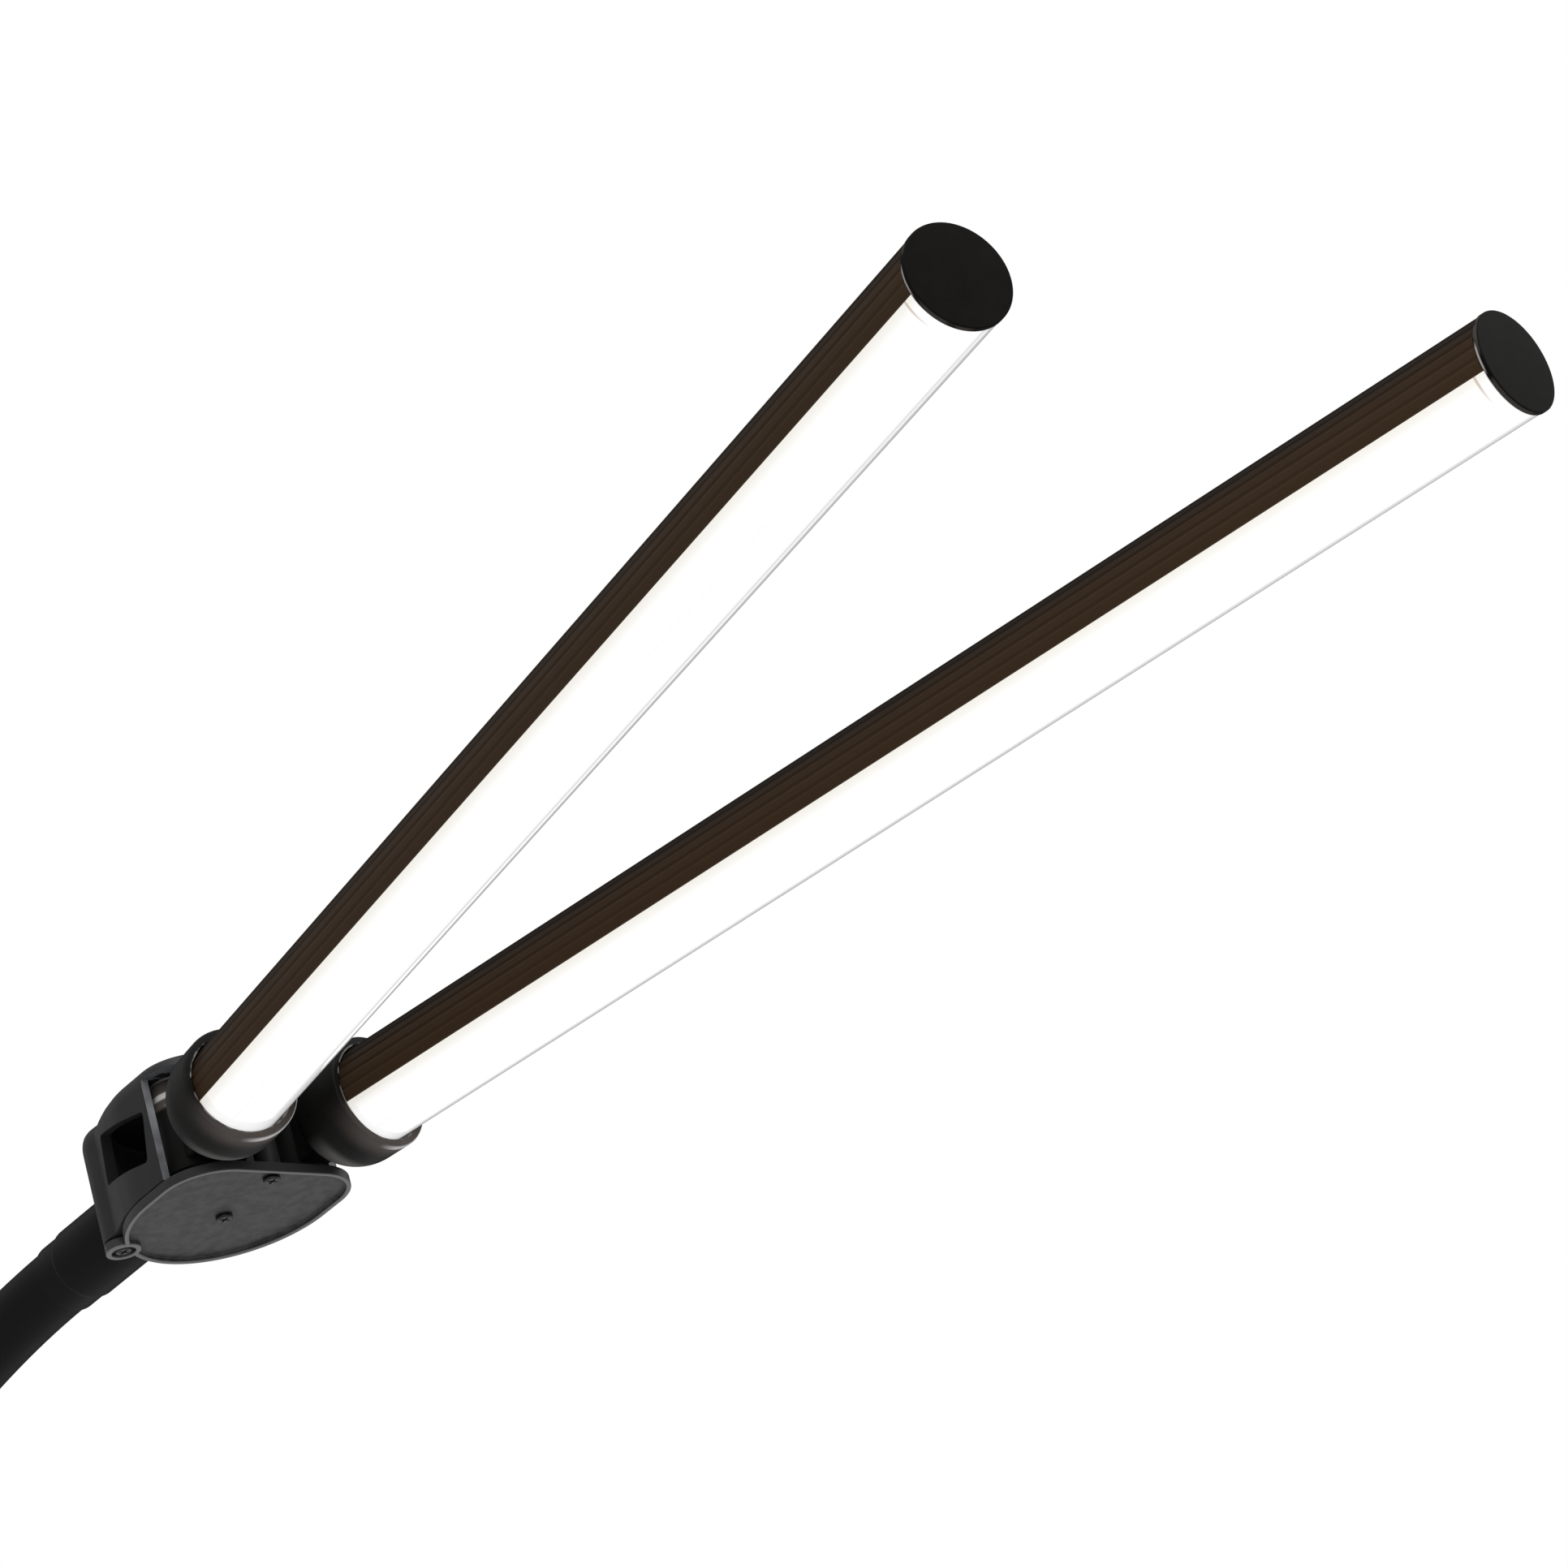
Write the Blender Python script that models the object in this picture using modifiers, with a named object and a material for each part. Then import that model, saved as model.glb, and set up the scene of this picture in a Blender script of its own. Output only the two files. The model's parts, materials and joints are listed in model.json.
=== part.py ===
"""Floor lamp with two light bars.

A round weighted base carries three pole sections, a gooseneck, a hinge block and two swinging bars.
Metres, +Z up. The pole's axis is x = y = 0, the floor is z = 0, and the bars reach out to +X.
"""

import bpy
import bmesh
from math import asin, cos, pi, radians, sin
from mathutils import Vector

# Clearances shared by the whole lamp
GAP = 0.0003
RUNNING = 0.0002
OVERRUN = 0.002
WELD = 0.00001

# Number of straight edges round a turned piece
FINE = 28
COARSE = 16
SMALL = 10

# Light bars
BAR_RADIUS = 0.0138
BAR_REACH = 0.407
BAR_INSERT = 0.0125
HOUSING_WALL = 0.0016
LIGHT_ANGLE = radians(71)
GROOVES = 14
GROOVE_DEPTH = 0.0003
SHELF_DROP = 0.0018
SHELF_THICKNESS = 0.0014
BOARD_HALF_WIDTH = 0.010
BOARD_THICKNESS = 0.0012
CHIPS = 16
CHIP_SIZE = 0.0035
CHIP_HEIGHT = 0.0008
DIFFUSER_WALL = 0.0014

# End caps
CAP_RADIUS = 0.014
CAP_FLANGE = 0.0016
CAP_CHAMFER = 0.0004
CAP_PLUG = 0.006

# Collars, which carry the bars and turn on the pivot pins
COLLAR_RADIUS = 0.0165
COLLAR_STRAIGHT = 0.009
CUP_DEPTH = 0.013
CUP_CHAMFER = 0.0005
KNUCKLE_RADIUS = 0.008
TONGUE_HALF_WIDTH = 0.005
TONGUE_DROP = 0.008
TONGUE_RISE = 0.006
WIRE_HOLE_RADIUS = 0.0015
WIRE_HOLE_RISE = 0.0085

# Fan of the two bars at rest, measured at the collars' rims
FAN = radians(9.114)
RIM_SPREAD = 0.0225
PIVOT_BACK = 0.0357

# Hinge block, measured back from the mid-point between the rims
BLOCK_FRONT = 0.0193
BLOCK_REAR = 0.0777
BLOCK_WIDEST = 0.0434
BLOCK_HALF_WIDTH = 0.0294
BLOCK_CORNER = 0.0154
BLOCK_WALL = 0.0024
BLOCK_RISE = 0.0206
BLOCK_DROP = 0.0158
TOP_THICKNESS = 0.0032
WALL_FRONT = 0.0335
PLATE_THICKNESS = 0.0015
RIM_HEIGHT = 0.0014
RIM_WIDTH = 0.0014
EAR_BACK = 0.0714
EAR_SIDE = 0.0190
EAR_RADIUS = 0.0049
WINDOW_BACK = 0.0497
WINDOW_RISE = 0.0045
WINDOW_LENGTH = 0.026
WINDOW_HEIGHT = 0.014
WINDOW_TILT = radians(11.5)

# Block screws, pivot pins and friction washers
SCREW_FRONT_BACK = 0.0253
SCREW_MIDDLE_BACK = 0.0493
SCREW_RADIUS = 0.0013
SCREW_LENGTH = 0.010
SCREW_HEAD_RADIUS = 0.0024
SCREW_HEAD_HEIGHT = 0.0010
BOSS_RADIUS = 0.0034
PIN_RADIUS = 0.0025
PIN_SOCKET = 0.0014
SEAT_WIDTH = 0.002
WASHER_RADIUS = 0.0074
WASHER_THICKNESS = 0.0008

# Gooseneck, an arc from the pole's top to the hinge block
NECK_RADIUS = 0.00975
NECK_BORE = 0.0048
NECK_BEND = 0.400
NECK_TURN = radians(64.8)
NECK_JOINTS = 8
NECK_RISE = 0.0026
NECK_SIDES = 12
BORE_SIDES = 6
BALL_RADIUS = 0.0076
BALL_CLEARANCE = 0.0008
SHOULDER = 0.0036

# Sleeve at the block's end of the gooseneck
SLEEVE_RADIUS = 0.01085
SLEEVE_LENGTH = 0.0455
SLEEVE_DEPTH = 0.034
SLEEVE_CHAMFER = 0.001
SPIGOT_RADIUS = 0.005
SPIGOT_LENGTH = 0.010
SPIGOT_BORE = 0.0032
NUT_RADIUS = 0.008
NUT_THICKNESS = 0.004
REAR_BOSS = 0.0014
REAR_PAD = 0.0018

# Ferrule at the pole's end of the gooseneck
FERRULE_RADIUS = 0.0128
FERRULE_TOP_RADIUS = 0.0116
FERRULE_LENGTH = 0.034
FERRULE_DEPTH = 0.020

# Pole
POLE_RADIUS = 0.011
POLE_WALL = 0.0012
POLE_LENGTH = 0.318
JOINER_RING = 0.003
JOINER_PLUG = 0.018
JOINER_BORE = 0.0035

# Base
COVER_RADIUS = 0.140
WEIGHT_MARGIN = 0.008
WEIGHT_THICKNESS = 0.016
PAD_MARGIN = 0.004
PAD_THICKNESS = 0.002
COVER_WALL = 0.0018
COVER_EDGE = 0.005
COVER_LIFT = 0.0010
SOCKET_RADIUS = 0.019
SOCKET_TOP_RADIUS = 0.0135
SOCKET_HEIGHT = 0.016
STUD_RADIUS = 0.005
BASE_NUT_RADIUS = 0.0095
BASE_NUT_THICKNESS = 0.004
BASE_WASHER_RADIUS = 0.013
BASE_WASHER_THICKNESS = 0.0012

# Power inlet and the lead inside the pole
INLET_RADIUS = 0.0040
INLET_LENGTH = 0.014
INLET_FLANGE_RADIUS = 0.0050
INLET_FLANGE = 0.0012
INLET_BORE = 0.0030
INLET_DEPTH = 0.009
INLET_PIN_RADIUS = 0.001
LEAD_RADIUS = 0.0018
LEAD_BEND = 0.008
LEAD_CHANNEL_CLEARANCE = 0.0012
LEAD_SLOPE = 0.026

# Control housing with its push button
CONTROL_HEIGHT = 0.070
CONTROL_DROP = 0.2019
CONTROL_HALF_WIDTH = 0.018
CONTROL_FRONT = 0.029
CONTROL_BACK = 0.0155
CONTROL_CORNER = 0.006
CONTROL_WALL = 0.002
CONTROL_BEHIND_BOARD = 0.0025
CONTROL_BOARD_THICKNESS = 0.0016
CONTROL_SCREW_OFFSET = 0.026
BUTTON_RADIUS = 0.006
BUTTON_PROUD = 0.0022
BUTTON_FLANGE = 0.0014
BUTTON_FLANGE_THICKNESS = 0.001
BUTTON_RISE = 0.010
BUTTON_TRAVEL = 0.0015
SWITCH_RADIUS = 0.004

# Places that follow from the sizes above
PLATE_INNER = -(BLOCK_DROP - RIM_HEIGHT - PLATE_THICKNESS)
PLATE_FIELD = -(BLOCK_DROP - RIM_HEIGHT)
TOP_INNER = BLOCK_RISE - TOP_THICKNESS
SEAT_TOP = PLATE_INNER + PIN_SOCKET
KNUCKLE_BOTTOM = SEAT_TOP + WASHER_THICKNESS + 2 * GAP
KNUCKLE_TOP = TOP_INNER - WASHER_THICKNESS - 2 * GAP
PIVOT_X = -PIVOT_BACK * cos(FAN)
PIVOT_Y = RIM_SPREAD - PIVOT_BACK * sin(FAN)
BAR_START = PIVOT_BACK - BAR_INSERT
CAP_START = PIVOT_BACK + BAR_REACH - CAP_FLANGE
BAR_END = CAP_START - GAP
NECK_STEP = NECK_TURN / NECK_JOINTS
NECK_PITCH = NECK_BEND * NECK_STEP
WEIGHT_RADIUS = COVER_RADIUS - WEIGHT_MARGIN
PAD_RADIUS = WEIGHT_RADIUS - PAD_MARGIN
WEIGHT_BOTTOM = PAD_THICKNESS + GAP
WEIGHT_TOP = WEIGHT_BOTTOM + WEIGHT_THICKNESS
COVER_TOP = WEIGHT_TOP + GAP + COVER_WALL
POLE_BOTTOM = COVER_TOP + GAP
POLE_STEP = POLE_LENGTH + JOINER_RING + 2 * GAP
POLE_TOP = POLE_BOTTOM + 3 * POLE_LENGTH + 2 * (JOINER_RING + 2 * GAP)
CONTROL_MIDDLE = POLE_TOP - CONTROL_DROP
PLUG_RADIUS = POLE_RADIUS - POLE_WALL - GAP
NECK_START = POLE_TOP + GAP + FERRULE_LENGTH
SLEEVE_BACK = BLOCK_REAR + REAR_BOSS + GAP + SLEEVE_LENGTH

for old in list(bpy.data.objects):
    bpy.data.objects.remove(old, do_unlink=True)

parts = bpy.data.collections.new("floor_lamp")
cutters = bpy.data.collections.new("cutters")
bpy.context.scene.collection.children.link(parts)
bpy.context.scene.collection.children.link(cutters)
cutters.hide_render = True


def material(name, colour, roughness, metallic=0.0, glow=0.0):
    """A Principled material of one colour; glow is the strength of its own light."""
    made = bpy.data.materials.new(name)
    made.use_nodes = True
    shader = made.node_tree.nodes["Principled BSDF"]
    shader.inputs["Base Color"].default_value = (*colour, 1)
    shader.inputs["Roughness"].default_value = roughness
    shader.inputs["Metallic"].default_value = metallic
    shader.inputs["Emission Color"].default_value = (*colour, 1)
    shader.inputs["Emission Strength"].default_value = glow
    return made


black_paint = material("black_paint", (0.014, 0.014, 0.015), 0.42)
block_black = material("block_black", (0.020, 0.020, 0.021), 0.48)
anodised = material("black_anodised", (0.018, 0.015, 0.013), 0.38, 0.5)
cap_black = material("cap_black", (0.012, 0.012, 0.012), 0.55)
plate_grey = material("plate_grey", (0.075, 0.074, 0.072), 0.5)
opal = material("opal_diffuser", (1.0, 0.98, 0.94), 0.4, 0.0, 1.0)
board_white = material("board_white", (0.80, 0.80, 0.77), 0.45)
board_green = material("board_green", (0.02, 0.10, 0.05), 0.5)
zinc = material("dark_zinc", (0.10, 0.10, 0.11), 0.35, 1.0)
steel = material("bright_steel", (0.55, 0.55, 0.56), 0.3, 1.0)
nylon = material("nylon", (0.55, 0.54, 0.50), 0.5)
neck_black = material("neck_black", (0.012, 0.012, 0.012), 0.55)
iron = material("cast_iron", (0.06, 0.06, 0.06), 0.75, 0.6)
foam = material("pad_rubber", (0.02, 0.02, 0.02), 0.9)
lead_black = material("lead_black", (0.015, 0.015, 0.015), 0.6)


def add(name, data, home, finish=None, parent=None, place=(0, 0, 0), turn=(0, 0, 0)):
    """Link an object with its material, at a place and turn in its parent's frame."""
    obj = bpy.data.objects.new(name, data)
    home.objects.link(obj)
    obj.location = place
    obj.rotation_euler = turn
    obj.parent = parent
    if finish and not data.materials:
        data.materials.append(finish)
    if home is cutters:
        obj.hide_render = True
        obj.display_type = "WIRE"
    return obj


def empty(name, parent=None, place=(0, 0, 0), turn=(0, 0, 0)):
    """A frame that other pieces hang from."""
    return add(name, None, parts, None, parent, place, turn)


def turned(name, profile, steps, **where):
    """Turn a profile of (radius, height) points about Z; it runs down its outer side."""
    mesh = bpy.data.meshes.new(name)
    links = [(i, i + 1) for i in range(len(profile) - 1)]
    if min(profile[0][0], profile[-1][0]) > 0:
        links.append((len(profile) - 1, 0))
    mesh.from_pydata([(r, 0, z) for r, z in profile], links, [])
    obj = add(name, mesh, where.pop("home", parts), **where)
    screw = obj.modifiers.new("turn", "SCREW")
    screw.steps = steps
    screw.render_steps = steps
    screw.use_merge_vertices = True
    screw.merge_threshold = WELD
    return obj


def prism(name, loops, length, **where):
    """Extrude flat closed outlines (holes included) along Z, half each way."""
    curve = bpy.data.curves.new(name, "CURVE")
    curve.dimensions = "2D"
    curve.fill_mode = "BOTH"
    curve.extrude = length / 2
    for loop in loops:
        spline = curve.splines.new("POLY")
        spline.points.add(len(loop) - 1)
        for point, (x, y) in zip(spline.points, loop):
            point.co = (x, y, 0, 1)
        spline.use_cyclic_u = True
    return meshed(add(name, curve, where.pop("home", parts), **where))


def tube(name, points, radius, sides, **where):
    """A round rod along a path, with its ends closed."""
    curve = bpy.data.curves.new(name, "CURVE")
    curve.dimensions = "3D"
    curve.bevel_depth = radius
    curve.bevel_resolution = sides // 2 - 2
    curve.use_fill_caps = True
    spline = curve.splines.new("POLY")
    spline.points.add(len(points) - 1)
    for point, place in zip(spline.points, points):
        point.co = (*place, 1)
    return meshed(add(name, curve, where.pop("home", parts), **where))


def meshed(obj):
    """Swap a curve object for a mesh of the same name and place, with its caps welded on."""
    graph = bpy.context.evaluated_depsgraph_get()
    mesh = bpy.data.meshes.new_from_object(obj.evaluated_get(graph))
    build = bmesh.new()
    build.from_mesh(mesh)
    bmesh.ops.remove_doubles(build, verts=build.verts, dist=WELD)
    bmesh.ops.recalc_face_normals(build, faces=build.faces)
    build.to_mesh(mesh)
    build.free()
    name, home, data = obj.name, obj.users_collection[0], obj.data
    place, turn, parent = obj.location.copy(), obj.rotation_euler.copy(), obj.parent
    bpy.data.objects.remove(obj)
    bpy.data.curves.remove(data)
    return add(name, mesh, home, None, parent, place, turn)


def block(name, low, high, **where):
    """A box from its lowest to its highest corner."""
    build = bmesh.new()
    bmesh.ops.create_cube(build, size=1)
    for vertex in build.verts:
        vertex.co = [a + (c + 0.5) * (b - a) for a, b, c in zip(low, high, vertex.co)]
    mesh = bpy.data.meshes.new(name)
    build.to_mesh(mesh)
    build.free()
    return add(name, mesh, where.pop("home", parts), **where)


def rod(name, radius, low, high, steps=COARSE, **where):
    """A plain round bar along Z, between two heights."""
    build = bmesh.new()
    bmesh.ops.create_cone(
        build, cap_ends=True, segments=steps, radius1=radius, radius2=radius, depth=high - low
    )
    bmesh.ops.translate(build, verts=build.verts, vec=(0, 0, (low + high) / 2))
    mesh = bpy.data.meshes.new(name)
    build.to_mesh(mesh)
    build.free()
    return add(name, mesh, where.pop("home", parts), **where)


def ball(name, radius, steps, **where):
    """A round ball about its own origin."""
    build = bmesh.new()
    bmesh.ops.create_uvsphere(build, u_segments=steps, v_segments=steps // 2, radius=radius)
    mesh = bpy.data.meshes.new(name)
    build.to_mesh(mesh)
    build.free()
    return add(name, mesh, where.pop("home", parts), **where)


def boolean(obj, other, operation):
    """Cut another object out of this one, or join it on."""
    step = obj.modifiers.new(other.name, "BOOLEAN")
    step.operation = operation
    step.object = other
    step.solver = "EXACT"
    return obj


def cut(obj, *others):
    for other in others:
        boolean(obj, other, "DIFFERENCE")
    return obj


def join(obj, *others):
    for other in others:
        boolean(obj, other, "UNION")
    return obj


def arc(radius, first, last, steps, centre=(0, 0)):
    """Points along an arc, from one angle to another."""
    angles = [first + (last - first) * i / steps for i in range(steps + 1)]
    return [(centre[0] + radius * cos(a), centre[1] + radius * sin(a)) for a in angles]


def upright(angle, radius):
    """Cross-section point of a bar: the angle is measured from straight down, towards +Y."""
    return (radius * sin(angle), -radius * cos(angle))


# Base: a rubber pad under a cast weight, covered by a pressed steel shell
turned(
    "base_pad",
    [(0, PAD_THICKNESS), (PAD_RADIUS, PAD_THICKNESS), (PAD_RADIUS, 0), (0, 0)],
    FINE,
    finish=foam,
)
lead_height = WEIGHT_BOTTOM + LEAD_RADIUS + GAP
stud_end = lead_height + LEAD_BEND / 2
nut_recess = stud_end + BASE_NUT_THICKNESS + BASE_WASHER_THICKNESS + 3 * GAP - WEIGHT_BOTTOM
nut_recess_radius = BASE_WASHER_RADIUS + GAP
weight = turned(
    "base_weight",
    [
        (STUD_RADIUS + GAP, WEIGHT_TOP),
        (WEIGHT_RADIUS, WEIGHT_TOP),
        (WEIGHT_RADIUS, WEIGHT_BOTTOM),
        (nut_recess_radius, WEIGHT_BOTTOM),
        (nut_recess_radius, WEIGHT_BOTTOM + nut_recess),
        (STUD_RADIUS + GAP, WEIGHT_BOTTOM + nut_recess),
    ],
    FINE,
    finish=iron,
)
inlet_height = WEIGHT_BOTTOM + INLET_FLANGE_RADIUS + GAP
channel_half_width = LEAD_RADIUS + LEAD_CHANNEL_CLEARANCE
channel_top = lead_height + channel_half_width
inlet_back = COVER_RADIUS - INLET_LENGTH
inlet_pocket = INLET_RADIUS + LEAD_CHANNEL_CLEARANCE
cut(
    weight,
    block(
        "lead_channel",
        (-COVER_RADIUS, -channel_half_width, 0),
        (0, channel_half_width, channel_top),
        home=cutters,
    ),
    block(
        "inlet_pocket",
        (-COVER_RADIUS, -inlet_pocket, 0),
        (-inlet_back + LEAD_SLOPE, inlet_pocket, inlet_height + inlet_pocket),
        home=cutters,
    ),
)
cover_inner = COVER_RADIUS - COVER_WALL
cover_edge_inner = COVER_EDGE - COVER_WALL
cover = turned(
    "base_cover",
    [
        (STUD_RADIUS + GAP, COVER_TOP),
        *reversed(
            arc(COVER_EDGE, 0, pi / 2, 3, (COVER_RADIUS - COVER_EDGE, COVER_TOP - COVER_EDGE))
        ),
        (COVER_RADIUS, COVER_LIFT),
        (cover_inner, COVER_LIFT),
        *arc(
            cover_edge_inner,
            0,
            pi / 2,
            2,
            (COVER_RADIUS - COVER_EDGE, COVER_TOP - COVER_EDGE),
        ),
        (STUD_RADIUS + GAP, COVER_TOP - COVER_WALL),
    ],
    FINE + COARSE,
    finish=black_paint,
)
cut(
    cover,
    rod(
        "inlet_hole",
        INLET_RADIUS + GAP,
        COVER_RADIUS - COVER_EDGE,
        COVER_RADIUS + OVERRUN,
        place=(0, 0, inlet_height),
        turn=(0, -pi / 2, 0),
        home=cutters,
    ),
)
turned(
    "pole_socket",
    [
        (POLE_RADIUS + GAP, POLE_BOTTOM + SOCKET_HEIGHT),
        (SOCKET_TOP_RADIUS, POLE_BOTTOM + SOCKET_HEIGHT),
        *[
            (
                SOCKET_TOP_RADIUS + (SOCKET_RADIUS - SOCKET_TOP_RADIUS) * (1 - cos(a)),
                POLE_BOTTOM + SOCKET_HEIGHT * (1 - sin(a)),
            )
            for a in (pi / 8, pi / 4, 3 * pi / 8, pi / 2)
        ],
        (POLE_RADIUS + GAP, POLE_BOTTOM),
    ],
    FINE,
    finish=black_paint,
)
turned(
    "pole_foot",
    [
        (JOINER_BORE, POLE_BOTTOM + JOINER_PLUG),
        (PLUG_RADIUS, POLE_BOTTOM + JOINER_PLUG),
        (PLUG_RADIUS, POLE_BOTTOM),
        (STUD_RADIUS, POLE_BOTTOM),
        (STUD_RADIUS, stud_end),
        (JOINER_BORE, stud_end),
    ],
    COARSE,
    finish=zinc,
)
washer_top = WEIGHT_BOTTOM + nut_recess - GAP
washer_bottom = washer_top - BASE_WASHER_THICKNESS
nut_top = washer_bottom - GAP
clamp_bore = STUD_RADIUS + RUNNING
for name, outer, low, high, sides in (
    ("base_washer", BASE_WASHER_RADIUS, washer_bottom, washer_top, COARSE),
    ("base_nut", BASE_NUT_RADIUS, nut_top - BASE_NUT_THICKNESS, nut_top, 6),
):
    cut(
        rod(name, outer, low, high, sides, finish=zinc),
        rod(name + "_bore", clamp_bore, 0, COVER_TOP, home=cutters),
    )

# Power inlet: a jack in the base's rear edge, its pin in the middle of the socket
turned(
    "power_inlet",
    [
        (0, INLET_LENGTH),
        (INLET_RADIUS, INLET_LENGTH),
        (INLET_RADIUS, -GAP),
        (INLET_FLANGE_RADIUS, -GAP),
        (INLET_FLANGE_RADIUS, -GAP - INLET_FLANGE),
        (INLET_BORE, -GAP - INLET_FLANGE),
        (INLET_BORE, INLET_DEPTH - GAP - INLET_FLANGE),
        (INLET_PIN_RADIUS, INLET_DEPTH - GAP - INLET_FLANGE),
        (INLET_PIN_RADIUS, 0),
        (0, 0),
    ],
    COARSE,
    finish=cap_black,
    place=(-COVER_RADIUS, 0, inlet_height),
    turn=(0, pi / 2, 0),
)
lead_end = NECK_START - FERRULE_DEPTH / 2
tube(
    "pole_lead",
    [
        *[
            (
                -inlet_back + GAP + LEAD_SLOPE * (i / 8),
                0,
                lead_height + (inlet_height - lead_height) * (1 + cos(pi * i / 8)) / 2,
            )
            for i in range(9)
        ],
        *[
            (-LEAD_BEND + LEAD_BEND * sin(a), 0, lead_height + LEAD_BEND * (1 - cos(a)))
            for a in [i * pi / 12 for i in range(7)]
        ],
        (0, 0, lead_end),
    ],
    LEAD_RADIUS,
    8,
    finish=lead_black,
)

# Pole: three steel tubes, screwed together over two joiners with a thin ring between them
tube_bore = POLE_RADIUS - POLE_WALL
for level, name in enumerate(("pole_lower", "pole_middle", "pole_upper")):
    low = POLE_BOTTOM + level * POLE_STEP
    high = low + POLE_LENGTH
    turned(
        name,
        [(tube_bore, high), (POLE_RADIUS, high), (POLE_RADIUS, low), (tube_bore, low)],
        FINE,
        finish=black_paint,
    )
for level, name in enumerate(("pole_joiner_lower", "pole_joiner_upper")):
    low = POLE_BOTTOM + POLE_LENGTH + level * POLE_STEP + GAP
    high = low + JOINER_RING
    turned(
        name,
        [
            (JOINER_BORE, high + JOINER_PLUG),
            (PLUG_RADIUS, high + JOINER_PLUG),
            (PLUG_RADIUS, high),
            (POLE_RADIUS, high),
            (POLE_RADIUS, low),
            (PLUG_RADIUS, low),
            (PLUG_RADIUS, low - JOINER_PLUG),
            (JOINER_BORE, low - JOINER_PLUG),
        ],
        COARSE,
        finish=zinc,
    )


# Control housing: two halves clamped round the upper pole section
def rounded_side(front, back, inset, half_width):
    """Plan outline of one half of the housing, with round corners on its outer side."""
    sign = 1 if front > back else -1
    radius = CONTROL_CORNER - inset
    reach = abs(front) - inset
    wide = half_width - inset
    corner = (reach - radius, wide - radius)
    upper = arc(radius, 0, pi / 2, 4, corner)
    lower = [(x, -y) for x, y in reversed(upper)]
    loop = lower + upper + [(sign * back, wide), (sign * back, -wide)]
    return [(sign * x, y) for x, y in loop]


control_bore = rod(
    "control_bore", POLE_RADIUS + GAP, 0, POLE_TOP, FINE, home=cutters
)
front_shell = prism(
    "control_front",
    [rounded_side(CONTROL_FRONT, GAP / 2, 0, CONTROL_HALF_WIDTH)],
    CONTROL_HEIGHT,
    finish=cap_black,
    place=(0, 0, CONTROL_MIDDLE),
)
back_shell = prism(
    "control_back",
    [rounded_side(-CONTROL_BACK, GAP / 2, 0, CONTROL_HALF_WIDTH)],
    CONTROL_HEIGHT,
    finish=cap_black,
    place=(0, 0, CONTROL_MIDDLE),
)
cavity_back = POLE_RADIUS + GAP + CONTROL_WALL
cavity_front = CONTROL_FRONT - CONTROL_WALL
cavity_half_height = CONTROL_HEIGHT / 2 - CONTROL_WALL
cavity_half_width = CONTROL_HALF_WIDTH - 2 * CONTROL_WALL
button_height = CONTROL_MIDDLE + BUTTON_RISE
button_hole = BUTTON_RADIUS + RUNNING
cut(
    front_shell,
    block(
        "control_cavity",
        (cavity_back, -cavity_half_width, CONTROL_MIDDLE - cavity_half_height),
        (cavity_front, cavity_half_width, CONTROL_MIDDLE + cavity_half_height),
        home=cutters,
    ),
    rod(
        "button_hole",
        button_hole,
        cavity_back + CONTROL_WALL,
        CONTROL_FRONT + OVERRUN,
        place=(0, 0, button_height),
        turn=(0, pi / 2, 0),
        home=cutters,
    ),
    rod(
        "control_lead_hole",
        JOINER_BORE,
        0,
        cavity_back + OVERRUN,
        place=(0, 0, CONTROL_MIDDLE),
        turn=(0, pi / 2, 0),
        home=cutters,
    ),
    control_bore,
)
cut(back_shell, control_bore)
board_back = cavity_back + CONTROL_BEHIND_BOARD
board_front = board_back + CONTROL_BOARD_THICKNESS
board = block(
    "control_board",
    (board_back, -cavity_half_width + GAP, CONTROL_MIDDLE - cavity_half_height + GAP),
    (board_front, cavity_half_width - GAP, CONTROL_MIDDLE + cavity_half_height - GAP),
    finish=board_green,
)
turned(
    "power_button",
    [
        (0, CONTROL_FRONT + BUTTON_PROUD),
        (BUTTON_RADIUS - CAP_CHAMFER, CONTROL_FRONT + BUTTON_PROUD),
        (BUTTON_RADIUS, CONTROL_FRONT + BUTTON_PROUD - CAP_CHAMFER),
        (BUTTON_RADIUS, cavity_front - GAP),
        (BUTTON_RADIUS + BUTTON_FLANGE, cavity_front - GAP),
        (BUTTON_RADIUS + BUTTON_FLANGE, cavity_front - GAP - BUTTON_FLANGE_THICKNESS),
        (0, cavity_front - GAP - BUTTON_FLANGE_THICKNESS),
    ],
    COARSE,
    finish=plate_grey,
    place=(0, 0, button_height),
    turn=(0, pi / 2, 0),
)
switch_top = cavity_front - 2 * GAP - BUTTON_FLANGE_THICKNESS - BUTTON_TRAVEL
join(
    board,
    rod(
        "switch_body",
        SWITCH_RADIUS,
        board_back + CONTROL_BOARD_THICKNESS / 2,
        switch_top,
        place=(0, 0, button_height),
        turn=(0, pi / 2, 0),
        home=cutters,
    ),
)
screw_side = POLE_RADIUS + (CONTROL_HALF_WIDTH - POLE_RADIUS) / 2
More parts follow.
